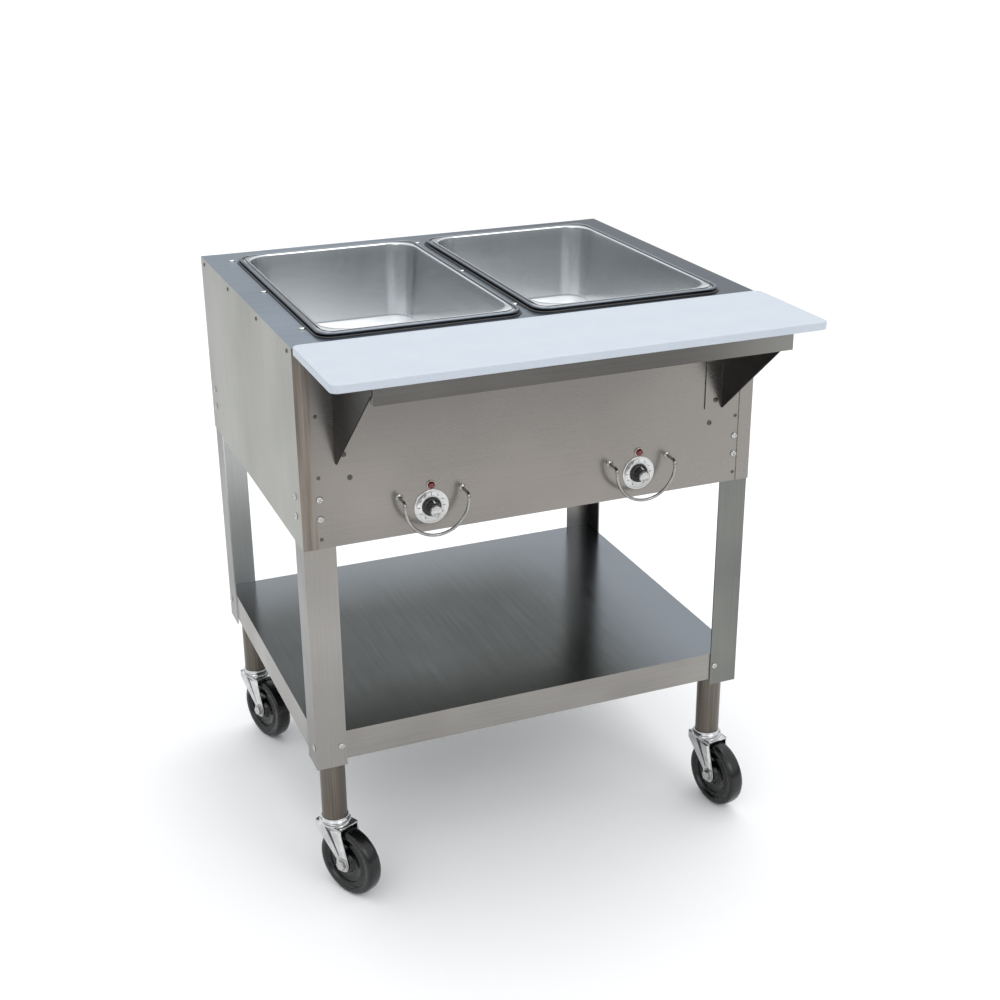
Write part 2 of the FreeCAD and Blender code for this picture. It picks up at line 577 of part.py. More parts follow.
# ---------------------------------------------------------------- controls
PANEL = "dim.y_front + dim.sheet"
for side, sx in SIDES:
    x = "%d * dim.knob_x" % sx
    z = "dim.knob_z"
    case = box("switch_case_" + side, ("42", "32", "34"), (x + " - 21", PANEL + " + dim.sheet", z + " - 17"))
    bush = rod("switch_bush_" + side, "5", "8", (x, PANEL + " - 1.4", z), "+y")
    tabs = []
    for k, dx in enumerate((-12, 0, 12)):
        tabs.append(box("switch_tab_%s_%d" % (side, k), ("6", "10", "1"),
                        (x + " + %d - 3" % dx, PANEL + " + dim.sheet + 31", z)))
    shaft_hole = rod("switch_bore_" + side, "3.25", "24", (x, PANEL + " - 3", z), "+y")
    nodes.append(cut("control_switch_" + side, fuse("switch_" + side, [case, bush] + tabs), [shaft_hole]))

    dial = rod("dial_disc_" + side, "dim.dial_r", "1.5", (x, PANEL, z), "-y")
    dial_hole = rod("dial_hole_" + side, "5.2", "6", (x, PANEL + " + 2", z), "-y")
    nodes.append(cut("knob_bezel_" + side, dial, [dial_hole]))

    lens = doc.addObject("Part::Sphere", "lamp_lens_" + side)
    lens.Radius = 6.5
    at(lens, x, PANEL + " - 2", "dim.lamp_z")
    front_half = box("lamp_half_" + side, ("20", "12", "20"), (x + " - 10", PANEL + " - 14", "dim.lamp_z - 10"))
    dome = doc.addObject("Part::Common", "lamp_dome_" + side)
    dome.Base = lens
    dome.Tool = front_half
    nodes.append(fuse("indicator_lamp_" + side, [
        dome,
        rod("lamp_collar_" + side, "7.5", "2", (x, PANEL, "dim.lamp_z"), "-y"),
        rod("lamp_barrel_" + side, "5", "26", (x, PANEL + " - 1", "dim.lamp_z"), "+y"),
        rod("lamp_nut_" + side, "7.5", "3", (x, PANEL + " + dim.sheet", "dim.lamp_z"), "+y"),
    ]))

    # the knob: skirt, tapered grip and a pointer ridge across its face
    skirt = rod("knob_skirt_" + side, "15", "3", (x, PANEL + " - 2.5", z), "-y")
    grip = cone("knob_grip_" + side, "12", "10.5", "13", (x, PANEL + " - 5", z), "-y")
    cap = rod("knob_cap_" + side, "9.5", "7", (x, PANEL + " - 17.8", z), "-y")
    ridge = box("knob_ridge_" + side, ("2.5", "9", "3"), (x + " - 1.25", PANEL + " - 18", z + " + 9.5"))
    socket = rod("knob_socket_" + side, "3.2", "14", (x, PANEL + " + 1", z), "-y")
    hollow = rod("knob_hollow_" + side, "6", "6", (x, PANEL + " + 1", z), "-y")
    nodes.append(cut("knob_" + side, fuse("knob_solid_" + side, [skirt, grip, cap, ridge]), [socket, hollow]))
    nodes.append(rod("knob_shaft_" + side, "3.2", "30", (x, PANEL + " - 13", z), "+y"))

    # the guard: lower half ring and two ends bent back to the panel
    gz = z + " + dim.guard_up"
    gy = PANEL + " - dim.guard_out"
    half_ring = FreeCAD.Rotation(V(1, 0, 0), 90).multiply(FreeCAD.Rotation(V(0, 0, 1), 180))
    bits = [bend("guard_ring_" + side, "dim.guard_r", "dim.wire_r", (x, gy, gz), half_ring, 180)]
    for k, dx in enumerate((-1, 1)):
        elbow = FreeCAD.Rotation(V(0, 1, 0), 90).multiply(FreeCAD.Rotation(V(0, 0, 1), -180))
        gx = x + " + %d * dim.guard_r" % dx
        bits.append(bend("guard_elbow_%s_%d" % (side, k), "8", "dim.wire_r", (gx, gy + " + 8", gz), elbow, 90))
        bits.append(rod("guard_leg_%s_%d" % (side, k), "dim.wire_r", "dim.guard_out - 8",
                        (gx, gy + " + 8", gz + " + 8"), "+y"))
        bits.append(rod("guard_foot_%s_%d" % (side, k), "6", "1.2", (gx, PANEL, gz + " + 8"), "-y"))
    nodes.append(fuse("knob_guard_" + side, bits))

terminal = fuse("terminal_solid", [
    box("terminal_case", ("90", "70", "44"), (gland_x + " - 45", gland_y + " - 35", "dim.body_base + 2 * dim.sheet")),
    rod("gland_thread", "10", "10", (gland_x, gland_y, "dim.body_base + 3"), "-z"),
    rod("gland_nut", "14", "8", (gland_x, gland_y, "dim.body_base + dim.sheet"), "-z"),
])
nodes.append(cut("terminal_box", terminal, [
    rod("gland_bore", "5", "16", (gland_x, gland_y, "dim.body_base - 9"), "+z"),
    box("terminal_hollow", ("86", "66", "40"), (gland_x + " - 43", gland_y + " - 33", "dim.body_base + 2 * dim.sheet + 2")),
]))

# ---------------------------------------------------------------- pans
for side, sx in SIDES:
    x, y = cx(sx), "dim.well_y"
    top = "dim.deck_z + dim.pan_top"

    def tub(name, shrink, drop, extra):
        body, sk = body_sketch(name)
        rounded_sketch(sk, "dim.pan_bw - 2 * %s" % shrink, "dim.pan_bl - 2 * %s" % shrink,
                       "dim.pan_br - %s" % shrink, (301, 506, 48))
        pad = body.newObject("PartDesign::Pad", name + "_pad")
        pad.Profile = sk
        pad.Reversed = True
        bind(pad, "Length", "dim.pan_deep - %s" % drop)
        bind(pad, "TaperAngle", "-dim.pan_draft")
        body.Tip = pad
        doc.recompute()
        low = min(v.Z for v in pad.Shape.Vertexes)
        edges = []
        for n, e in enumerate(pad.Shape.Edges, start=1):
            if all(abs(v.Z - low) < 0.01 for v in e.Vertexes):
                edges.append("Edge%d" % n)
        rounding = body.newObject("PartDesign::Fillet", name + "_fillet")
        rounding.Base = (pad, edges)
        rounding.Radius = 22 + extra
        body.Tip = rounding
        at(body, x, y, top)
        return body

    outer = tub("pan_outer_" + side, "0", "0", 0)
    inner_tub = tub("pan_inner_" + side, "dim.pan_t", "dim.pan_t", -1)
    rim = slab("pan_rim_" + side, "dim.pan_w", "dim.pan_l", "dim.pan_r", "dim.bead",
               (x, y, top + " - dim.bead"), (325, 530, 25))
    under = slab("pan_under_" + side, "dim.pan_w - 5", "dim.pan_l - 5", "dim.pan_r - 2.5", "dim.bead",
                 (x, y, top + " - dim.bead - dim.pan_t"), (320, 525, 22.5))
    bead = cut("pan_bead_" + side, rim, [under])
    nodes.append(cut("pan_" + side, fuse("pan_solid_" + side, [bead, outer]), [inner_tub]))

board = slab("cutting_board", "dim.body_w", "dim.board_d", "dim.board_r", "dim.board_th",
             ("0", "dim.y_front - dim.board_gap - dim.board_d / 2", "dim.board_z"), (772, 202.5, 12))
nodes.append(board)

# ---------------------------------------------------------------- casters
YAW = {"front_left": -62.0, "front_right": -80.0, "rear_left": -70.0, "rear_right": -82.0}
for tag, sx, sy in CORNERS:
    px = "%d * dim.post_x" % sx
    py = inset_y(sy, "dim.post_in")
    spot = (px, py)
    tube = rod("post_tube_" + tag, "dim.post_r", "dim.shelf_z - dim.sheet - dim.post_base", spot + ("dim.post_base",))
    plate = box("post_plate_" + tag, ("54", "54", "3"), (px + " - 27", py + " - 27", "dim.shelf_z - dim.sheet - 3"))
    lug = box("post_lug_" + tag, ("14", "28.4", "9"),
              (px + " - 7", (py + " - 29.3") if sy < 0 else (py + " + 0.9"), "dim.leg_base - 2"))
    bore = rod("post_bore_" + tag, "dim.post_r - dim.post_t", "dim.shelf_z - dim.post_base - 8",
               spot + ("dim.post_base - 1",))
    nodes.append(cut("caster_post_" + tag, fuse("post_" + tag, [tube, plate, lug]), [bore]))

    nodes.append(fuse("caster_stem_" + tag, [
        rod("stem_plug_" + tag, "dim.post_r - dim.post_t - 0.2", "58", spot + ("dim.post_base",)),
        rod("stem_collar_" + tag, "dim.post_r + 1.5", "3", spot + ("dim.post_base - 3",)),
        cone("stem_cap_" + tag, "25", "22.5", "2.5", spot + ("dim.post_base - 5.5",)),
        rod("swivel_pin_" + tag, "dim.pin_r", "20", spot + ("119.5",)),
        rod("swivel_head_" + tag, "11", "2.6", spot + ("119.5",)),
    ]))

    # fork: side profile padded across, gap cut out, swivel cup on top; trail runs along +X before turning
    pts = [
        ("-26", "126", -26, 126), ("-26", "112", -26, 112), ("dim.trail - 14", "dim.wheel_r + 8", 19, 68),
        ("dim.trail - 14", "dim.wheel_r - 7", 19, 53), ("dim.trail - 7", "dim.wheel_r - 14", 26, 46),
        ("dim.trail + 7", "dim.wheel_r - 14", 40, 46), ("dim.trail + 14", "dim.wheel_r - 7", 47, 53),
        ("dim.trail + 14", "dim.wheel_r + 8", 47, 68), ("33", "115", 33, 115), ("33", "126", 33, 126),
    ]
    prof, sk = body_sketch("fork_profile_" + tag, "XZ_Plane")
    polygon_sketch(sk, pts)
    pad = prof.newObject("PartDesign::Pad", "fork_pad_" + tag)
    pad.Profile = sk
    pad.Midplane = True
    bind(pad, "Length", "2 * (dim.fork_in + dim.fork_t)")
    prof.Tip = pad
    gap = box("fork_gap_" + tag, ("120", "2 * dim.fork_in", "123"), ("-50", "-dim.fork_in", "0"))
    cup = cone("fork_cup_" + tag, "27", "25", "5", ("0", "0", "126"))
    ribs = []
    for k, way in enumerate((-1, 1)):
        lean = math.degrees(math.atan2(31, 64))
        rib = doc.addObject("Part::Cylinder", "fork_rib_%s_%d" % (tag, k))
        rib.Placement = FreeCAD.Placement(V(), FreeCAD.Rotation(V(0, 1, 0), 180 - lean))
        rib.Radius = 3.5
        rib.Height = 54
        ribs.append(at(rib, "2", "%d * (dim.fork_in + dim.fork_t)" % way, "121"))
    fork_tools = [
        gap,
        rod("fork_pin_hole_" + tag, "dim.pin_r + 0.05", "40", ("0", "0", "112")),
        rod("fork_axle_hole_" + tag, "dim.axle_r + 0.05", "60", ("dim.trail", "-30", "dim.wheel_r"), "+y"),
    ]
    fork = cut("fork_solid_" + tag, fuse("fork_blank_" + tag, [prof, cup] + ribs), fork_tools)

    axle = fuse("axle_solid_" + tag, [
        rod("axle_shank_" + tag, "dim.axle_r", "2 * dim.fork_in + 20", ("dim.trail", "-dim.fork_in - 8", "dim.wheel_r"), "+y"),
        rod("axle_head_" + tag, "9", "5", ("dim.trail", "-dim.fork_in - dim.fork_t - 5.2", "dim.wheel_r"), "+y"),
        rod("axle_nut_" + tag, "9.5", "6", ("dim.trail", "dim.fork_in + dim.fork_t + 0.2", "dim.wheel_r"), "+y"),
    ])

    # wheel profile: radius along the sketch X, width along its Y
    half = "dim.wheel_half"
    r = "dim.wheel_r"
    wheel_pts = [
        ("dim.axle_r + 0.08", "-17", 6.08, -17), ("17", "-17", 17, -17), ("19", "-10", 19, -10),
        (r + " - 15", "-9", 45, -9), (r + " - 12", "-%s" % half, 48, -14), (r + " - 5", "-%s" % half, 55, -14),
        (r + " - 1.5", "-%s + 3" % half, 58.5, -11), (r, "-%s + 7" % half, 60, -7),
        (r, "%s - 7" % half, 60, 7), (r + " - 1.5", "%s - 3" % half, 58.5, 11), (r + " - 5", half, 55, 14),
        (r + " - 12", half, 48, 14), (r + " - 15", "9", 45, 9), ("19", "10", 19, 10), ("17", "17", 17, 17),
        ("dim.axle_r + 0.08", "17", 6.08, 17),
    ]
    wheel, sk = body_sketch("wheel_body_" + tag, "XY_Plane")
    polygon_sketch(sk, wheel_pts)
    spin = wheel.newObject("PartDesign::Revolution", "wheel_turn_" + tag)
    spin.Profile = sk
    spin.ReferenceAxis = (sk, ["V_Axis"])
    spin.Angle = 360
    wheel.Tip = spin
    at(wheel, "dim.trail", "0", "dim.wheel_r")

    # every rotating piece is turned about the post to the caster's resting heading
    for name, piece in (("caster_fork_", fork), ("caster_axle_", axle), ("caster_wheel_", wheel)):
        turned = doc.addObject("Part::Compound", name + tag)
        turned.Links = [piece]
        turned.Placement = FreeCAD.Placement(V(), FreeCAD.Rotation(V(0, 0, 1), YAW[tag]))
        at(turned, px, py, "0")
        nodes.append(turned)

doc.recompute()

# ---------------------------------------------------------------- check and write
bad = []
for obj in doc.Objects:
    if "Invalid" in obj.State or "Error" in obj.State:
        bad.append(obj.Name)
for obj in nodes:
    if obj.Shape.isNull() or not obj.Shape.isValid():
        bad.append(obj.Name + " shape")
if bad:
    raise RuntimeError("pieces with errors: " + ", ".join(bad))

os.makedirs("parts", exist_ok=True)
for obj in nodes:
    obj.Label = obj.Name
    obj.Shape.exportStep("parts/%s.step" % obj.Name)
    b = obj.Shape.BoundBox
    print("%-28s solids %3d  x %8.1f %8.1f  y %8.1f %8.1f  z %7.1f %7.1f  vol %11.0f" % (
        obj.Name, len(obj.Shape.Solids), b.XMin, b.XMax, b.YMin, b.YMax, b.ZMin, b.ZMax, obj.Shape.Volume))
print("nodes", len(nodes))
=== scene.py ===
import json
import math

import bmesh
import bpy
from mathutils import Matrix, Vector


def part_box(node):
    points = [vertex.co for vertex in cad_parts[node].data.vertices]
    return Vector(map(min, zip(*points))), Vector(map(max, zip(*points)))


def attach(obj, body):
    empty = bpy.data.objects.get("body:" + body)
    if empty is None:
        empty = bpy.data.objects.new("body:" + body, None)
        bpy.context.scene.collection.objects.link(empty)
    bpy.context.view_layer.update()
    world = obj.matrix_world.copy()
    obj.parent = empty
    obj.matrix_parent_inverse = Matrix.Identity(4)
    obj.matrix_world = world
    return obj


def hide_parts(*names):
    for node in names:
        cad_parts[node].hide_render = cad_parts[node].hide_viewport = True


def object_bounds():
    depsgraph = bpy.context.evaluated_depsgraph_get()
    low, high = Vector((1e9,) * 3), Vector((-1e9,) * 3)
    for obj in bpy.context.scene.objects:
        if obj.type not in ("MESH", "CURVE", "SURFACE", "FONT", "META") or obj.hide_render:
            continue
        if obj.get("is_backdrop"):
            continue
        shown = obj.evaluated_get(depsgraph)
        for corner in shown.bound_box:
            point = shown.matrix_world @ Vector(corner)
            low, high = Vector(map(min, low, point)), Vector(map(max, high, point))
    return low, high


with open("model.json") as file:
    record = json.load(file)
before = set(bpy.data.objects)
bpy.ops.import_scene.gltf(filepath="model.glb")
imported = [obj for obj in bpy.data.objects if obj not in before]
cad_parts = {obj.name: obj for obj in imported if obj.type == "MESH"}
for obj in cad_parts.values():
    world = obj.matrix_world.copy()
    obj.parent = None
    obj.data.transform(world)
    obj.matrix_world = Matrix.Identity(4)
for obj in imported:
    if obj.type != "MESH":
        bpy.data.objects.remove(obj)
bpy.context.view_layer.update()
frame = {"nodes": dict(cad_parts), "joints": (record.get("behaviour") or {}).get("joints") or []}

# %% [markdown]
# # A two-well steam table
# This lesson dresses the engineered frame of an electric steam table: a sheet-steel cabinet with
# two lift-out pans, a cutting board on gusset brackets, angle legs, an undershelf and casters.
# The frame already has every piece in its place and at its real size, in metres, so each cell
# below only has to give a piece its real edges, its detail and its finish.

MM = 0.001

# %% [markdown]
# ## Colours and shader nodes
# Paint charts and screens give colours as sRGB hex values, while the renderer adds light in linear
# units, so one function turns one into the other. A second function adds a node with its settings
# and its links, which keeps each material readable as a short list of what it is made from.

# %% Colour and node helpers
def linear(code):
    channels = [int(code[i:i + 2], 16) / 255 for i in (0, 2, 4)]
    return [c / 12.92 if c <= 0.04045 else ((c + 0.055) / 1.055) ** 2.4 for c in channels] + [1.0]


def add(tree, kind, inputs=None, **settings):
    """Adds a node, sets its options, then sets or links each named input."""
    made = tree.nodes.new(kind)
    for key, value in settings.items():
        setattr(made, key, value)
    for key, value in (inputs or {}).items():
        if isinstance(value, bpy.types.NodeSocket):
            tree.links.new(value, made.inputs[key])
        else:
            made.inputs[key].default_value = value
    return made


def new_material(name):
    made = bpy.data.materials.new(name)
    made.use_nodes = True
    made.node_tree.nodes.clear()
    return made, made.node_tree


def mixed(tree, amount, first, second):
    """Colour output that goes from the first colour to the second."""
    return add(tree, "ShaderNodeMix", {0: amount, 6: first, 7: second}, data_type="RGBA").outputs[2]


def finish_material(tree, shader):
    add(tree, "ShaderNodeOutputMaterial", {"Surface": shader.outputs[0]})


print("helpers ready")

# %% [markdown]
# ## Brushed stainless sheet
# Food-service cabinets are folded from 304 stainless with a number 4 finish: a belt drags fine
# parallel scratches along the sheet. The eye sees a soft, slightly streaked grey that is duller
# across the grain. Real scratches are a few hundredths of a millimetre wide, far too fine to show
# here, so they are drawn about 2 mm wide, and a slow cloud of handling marks lies over them.
# Noise stretched along the grain does both, and it costs no image. A slow fade along an axis can
# mix in a second tint: this is painted light and shade, a face made darker where shade falls or
# lighter where it would mirror something bright. It is laid in the sheet's own coordinates, so it
# stays where it is from every side.

# %% Brushed steel
AXES = {"x": 0, "y": 1, "z": 2}
SCRATCH_RUN_MM, MARKS_MM = 170, 190


def brushed(name, light, dark, grain, roughness, streak=0.35, streak_mm=2.2, relief=0.05, painted_light_fades=()):
    """Steel brushed along one axis; painted_light_fades are (axis, from, to, tint) with places in metres,
    each a gradient of painted light and shade.
    """
    made, tree = new_material(name)
    place = add(tree, "ShaderNodeTexCoord").outputs["Object"]
    stretch = [1000 / streak_mm] * 3
    stretch[AXES[grain]] = 1000 / SCRATCH_RUN_MM
    lines = add(tree, "ShaderNodeMapping", {"Vector": place, "Scale": stretch})
    scratch = add(tree, "ShaderNodeTexNoise", {"Vector": lines.outputs[0], "Scale": 1.0, "Detail": 3.0})
    marks = add(tree, "ShaderNodeTexNoise", {"Vector": place, "Scale": 1000 / MARKS_MM, "Detail": 2.0})
    blend = add(tree, "ShaderNodeMix", {0: streak, 2: marks.outputs[0], 3: scratch.outputs[0]})
    ramp = add(tree, "ShaderNodeMapRange", {0: blend.outputs[0], 1: 0.3, 2: 0.7, 3: 0.0, 4: 1.0})
    shade = mixed(tree, ramp.outputs[0], linear(dark), linear(light))
    # each fade mixes a gradient of painted light and shade into the colour
    for axis, start, end, tint in painted_light_fades:
        along = add(tree, "ShaderNodeSeparateXYZ", {0: place}).outputs[AXES[axis]]
        reach = add(tree, "ShaderNodeMapRange", {0: along, 1: start, 2: end, 3: 0.0, 4: 1.0},
                    interpolation_type="SMOOTHSTEP")
        shade = mixed(tree, reach.outputs[0], shade, linear(tint))
    rough = add(tree, "ShaderNodeMapRange",
                {0: blend.outputs[0], 1: 0.3, 2: 0.7, 3: roughness + 0.05, 4: roughness - 0.05})
    bump = add(tree, "ShaderNodeBump",
               {"Strength": relief, "Distance": 0.2 * MM, "Height": scratch.outputs[0]})
    steel = add(tree, "ShaderNodeBsdfPrincipled", {
        "Base Color": shade, "Metallic": 1.0, "Roughness": rough.outputs[0], "Normal": bump.outputs[0]})
    finish_material(tree, steel)
    return made


# painted light and shade: the front, side and back sheets are one steel in three tones, darkest on the
# front; the front also darkens towards the top under the board and turns paler towards +X
panel_front = brushed("brushed_304_front", "8B8681", "7F7B77", "x", 0.27, streak=0.25, relief=0.03,
                      painted_light_fades=[("z", 0.68, 0.92, "716E6B"), ("x", 0.10, 0.34, "8A8681")])
panel_side = brushed("brushed_304_side", "9B9B94", "92928B", "z", 0.40)
panel_back = brushed("brushed_304_back", "A8A6A0", "9A9892", "x", 0.36)
# painted shade: the left side panel's front fold is darker and browner than the same fold on the right
shaded_corner_steel = brushed("folded_corner_steel", "8F877E", "665F58", "z", 0.34, streak=0.8, streak_mm=7)
# painted reflection: the fade darkens the deck towards +X
deck_steel = brushed("brushed_304_deck", "8E99A4", "75808B", "x", 0.30, streak=0.5,
                     painted_light_fades=[("x", -0.25, 0.36, "555C64")])
# painted light and shade: the leg finishes are one steel in five tones; the flank and shaded copies are
# darker, the lit copy is a painted highlight and the inside copy is near-black painted shade
leg_steel = brushed("brushed_304_leg", "999692", "8A8782", "z", 0.36)
leg_flank = brushed("brushed_304_leg_flank", "807E7B", "716F6C", "z", 0.34)
leg_shaded = brushed("brushed_304_leg_shaded", "7C7D78", "6B6D6A", "z", 0.36)
leg_bright = brushed("brushed_304_leg_lit", "DCDCDA", "C8C8C6", "z", 0.34)
leg_painted_shade = brushed("dull_leg_inside", "3A3A39", "2E2E2D", "z", 0.42)
# painted shade and reflection: the shelf top is a much darker copy of the steel than its lip, and its
# fades lighten it towards the back and towards +X
shelf_steel = brushed("brushed_304_shelf", "545756", "434644", "y", 0.19, streak=0.45, streak_mm=6,
                      relief=0.02, painted_light_fades=[("y", 0.16, 0.42, "7B8084"), ("x", 0.10, 0.34, "7B8187")])
lip_steel = brushed("brushed_304_shelf_lip", "999691", "84817D", "x", 0.34)
# painted shade: the rail under the board is a darker copy of the steel, and its fade lightens it towards
# +X as painted light
rail_steel = brushed("brushed_304_rail", "656360", "575552", "x", 0.34,
                     painted_light_fades=[("x", 0.12, 0.36, "84837F")])
post_steel = brushed("drawn_tube_steel", "756E67", "57514B", "z", 0.34, streak=0.7)
liner_steel = brushed("aluminised_liner", "6A6C6E", "55585A", "z", 0.5)
bracket_steel = brushed("shadow_dark_bracket_steel", "3E3D3B", "2B2A29", "y", 0.42)
print("brushed finishes: 16")

# %% [markdown]
# ## Deep-drawn pan steel
# A steam pan is pressed from a flat blank, then polished. The walls keep a faint vertical drag
# from the die. It is the same steel with a tighter, smoother surface, so the roughness falls and
# the reflections of the lights turn into soft bands. The floor's paler, half-matt copy of the
# steel is a painted highlight, and the near-black groove and the darker bead are painted shade.

# %% Pan steel
def drawn_pan(name, light, dark, roughness, metallic=1.0):
    made, tree = new_material(name)
    place = add(tree, "ShaderNodeTexCoord").outputs["Object"]
    drag = add(tree, "ShaderNodeMapping", {"Vector": place, "Scale": (260, 260, 9)})
    lines = add(tree, "ShaderNodeTexNoise", {"Vector": drag.outputs[0], "Scale": 1.0, "Detail": 3.0})
    cloud = add(tree, "ShaderNodeTexNoise", {"Vector": place, "Scale": 9.0, "Detail": 2.0})
    blend = add(tree, "ShaderNodeMix", {0: 0.4, 2: cloud.outputs[0], 3: lines.outputs[0]})
    colour = mixed(tree, blend.outputs[0], linear(dark), linear(light))
    rough = add(tree, "ShaderNodeMapRange",
                {0: blend.outputs[0], 1: 0.3, 2: 0.7, 3: roughness + 0.04, 4: roughness - 0.03})
    relief = add(tree, "ShaderNodeBump",
                 {"Strength": 0.02, "Distance": 0.2 * MM, "Height": lines.outputs[0]})
    steel = add(tree, "ShaderNodeBsdfPrincipled", {
        "Base Color": colour, "Metallic": metallic, "Roughness": rough.outputs[0],
        "Normal": relief.outputs[0]})
    finish_material(tree, steel)
    return made


# painted light and shade: the floor copy is a painted highlight, the groove copy near-black painted shade
# and the bead copy a darker painted shade
pan_steel = drawn_pan("deep_drawn_304", "DADCDD", "C3C6C7", 0.22)
pan_floor_painted_light = drawn_pan("scoured_pan_floor", "F2F4F5", "E2E5E7", 0.42, metallic=0.5)
pan_groove_painted_shade = drawn_pan("stained_rim_groove", "0C0D0D", "060606", 0.6, metallic=0.3)
pan_bead = drawn_pan("rolled_rim_bead", "8B9096", "74797F", 0.30)
print("pan finishes: 4")

# %% [markdown]
# ## Plated, moulded and fibrous finishes
# The fork and the fasteners are zinc plated, which is bright but slightly cloudy. The tyre and the
# knob are moulded, so they are matt with a fine orange peel. The board is polyethylene: waxy, a
# little translucent, with a cool white colour and fine knife hazing. Each one is a base colour
# broken up by noise at its own real scale, with a small relief from the same noise.

# %% General finish
def surfaced(name, light, dark, size_mm, roughness, metallic=0.0, relief_mm=0.1, strength=0.2,
             **sockets):
    made, tree = new_material(name)
    place = add(tree, "ShaderNodeTexCoord").outputs["Object"]
    grain = add(tree, "ShaderNodeTexNoise", {"Vector": place, "Scale": 1000 / size_mm, "Detail": 4.0})
    colour = mixed(tree, grain.outputs[0], linear(dark), linear(light))
    rough = add(tree, "ShaderNodeMapRange",
                {0: grain.outputs[0], 1: 0.3, 2: 0.7, 3: roughness + 0.06, 4: roughness - 0.04})
    relief = add(tree, "ShaderNodeBump",
                 {"Strength": strength, "Distance": relief_mm * MM, "Height": grain.outputs[0]})
    inputs = {"Base Color": colour, "Metallic": metallic, "Roughness": rough.outputs[0],
              "Normal": relief.outputs[0]}
    inputs.update(sockets)
    finish_material(tree, add(tree, "ShaderNodeBsdfPrincipled", inputs))
    return made


zinc = surfaced("bright_zinc_plate", "EDEDEB", "9C9D9F", 16, 0.16, metallic=1.0)
screw_steel = surfaced("plated_screw_steel", "CFCFCC", "A5A5A2", 3, 0.30, metallic=1.0)
rivet_steel = surfaced("aged_rivet_steel", "6E6C68", "4E4C49", 2, 0.38, metallic=1.0)
wire_steel = surfaced("bright_guard_wire", "ADADAA", "7F7F7C", 5, 0.24, metallic=1.0)
dial_plate = surfaced("printed_dial_plate", "DCDCDA", "BDBDBB", 6, 0.30, metallic=0.8)
cap_metal = surfaced("spun_knob_cap", "CFCFCC", "A2A2A0", 2, 0.26, metallic=1.0)
tyre = surfaced("moulded_hard_rubber", "0A0A0B", "040404", 5, 0.26, relief_mm=0.15, strength=0.15)
phenolic = surfaced("moulded_phenolic", "1E1E1E", "131313", 3, 0.35)
ink = surfaced("dial_ink", "232323", "151515", 2, 0.5)
wool = surfaced("mineral_wool", "CBB98A", "9C8A5E", 4, 0.95, relief_mm=2.0, strength=0.8)
sheath = surfaced("heated_element_sheath", "5B554E", "37332F", 6, 0.5, metallic=0.8)
# painted shade: a near-black ring on the deck round each well stands for the shadow gap under the pan's
# rim
rim_shade = surfaced("dark_food_silicone", "1B1C1E", "121314", 6, 0.35)
shaded_zinc = surfaced("zinc_in_the_rib_shade", "3A3B3D", "222325", 8, 0.35, metallic=1.0)
galvanised = surfaced("galvanised_box", "A9AEB0", "84898C", 12, 0.42, metallic=1.0)
lens = surfaced("red_lamp_lens", "7A1215", "4A0608", 4, 0.12, strength=0.05,
                **{"Coat Weight": 0.6, "Coat Roughness": 0.05})
board_poly = surfaced("cutting_board_polyethylene", "B8BFC6", "B1B9C2", 60, 0.42, relief_mm=0.2,
                      strength=0.10, **{"IOR": 1.5, "Subsurface Weight": 0.15,
                                        "Subsurface Radius": (4 * MM, 4 * MM, 4 * MM)})
print("other finishes: 16")

# %% [markdown]
# ## Edges on folded sheet
# No folded or sheared sheet has a perfectly sharp edge: a brake leaves a small radius and the
# edges are broken by hand. The frame's sheets are exact but knife sharp, so each one is copied,
# its loose triangles are merged into flat faces, and a narrow bevel is run along every corner.
# The bevel catches a thin line of light, which is what makes steel read as sheet.

# %% Eased copies of the frame's sheets
COLLECTION = bpy.context.scene.collection


def place_piece(piece, body, nodes):
    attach(piece, body)
    if nodes:
        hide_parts(*nodes)


def object_from(name, bm, *materials):
    mesh = bpy.data.meshes.new(name)
    bm.to_mesh(mesh)
    bm.free()
    for material in materials:
        mesh.materials.append(material)
    piece = bpy.data.objects.new(name, mesh)
    COLLECTION.objects.link(piece)
    return piece


def settle(piece):
    """Turns the piece's modifiers into plain mesh."""
    seen = piece.evaluated_get(bpy.context.evaluated_depsgraph_get())
    mesh = bpy.data.meshes.new_from_object(seen)
    piece.modifiers.clear()
    piece.data = mesh
    mesh.name = piece.name
    return piece


def bevelled(piece, width_mm):
    """Rounds every edge, and keeps the flat faces flat in the shading."""
    bevel = piece.modifiers.new("edge", "BEVEL")
    bevel.width = width_mm * MM
    bevel.segments = 2
    bevel.limit_method = "ANGLE"
    bevel.angle_limit = math.radians(35)
    for polygon in piece.data.polygons:
        polygon.use_smooth = True
    flat = piece.modifiers.new("flat", "WEIGHTED_NORMAL")
    flat.mode = "FACE_AREA"
    flat.weight = 100
    return settle(piece)


def eased(node, material, width_mm, others=()):
    """others: (finish, test on a face) pairs for the parts of a sheet that look different."""
    bm = bmesh.new()
    bm.from_mesh(frame["nodes"][node].data)
    bmesh.ops.remove_doubles(bm, verts=bm.verts, dist=0.005 * MM)
    bmesh.ops.dissolve_limit(bm, angle_limit=math.radians(0.5), verts=bm.verts, edges=bm.edges)
    for index, (_, test) in enumerate(others, start=1):
        for face in bm.faces:
            if test(face):
                face.material_index = index
    finishes = [material] + [finish for finish, _ in others]
    piece = bevelled(object_from(node + "_sheet", bm, *finishes), width_mm)
    place_piece(piece, "frame", [node])


def looks(axis, way):
    """Test for faces that look along axis 0, 1 or 2, one way (-1 or 1) or both (0)."""
    if way == 0:
        return lambda face: abs(face.normal[axis]) > 0.7
    return lambda face: face.normal[axis] * way > 0.7


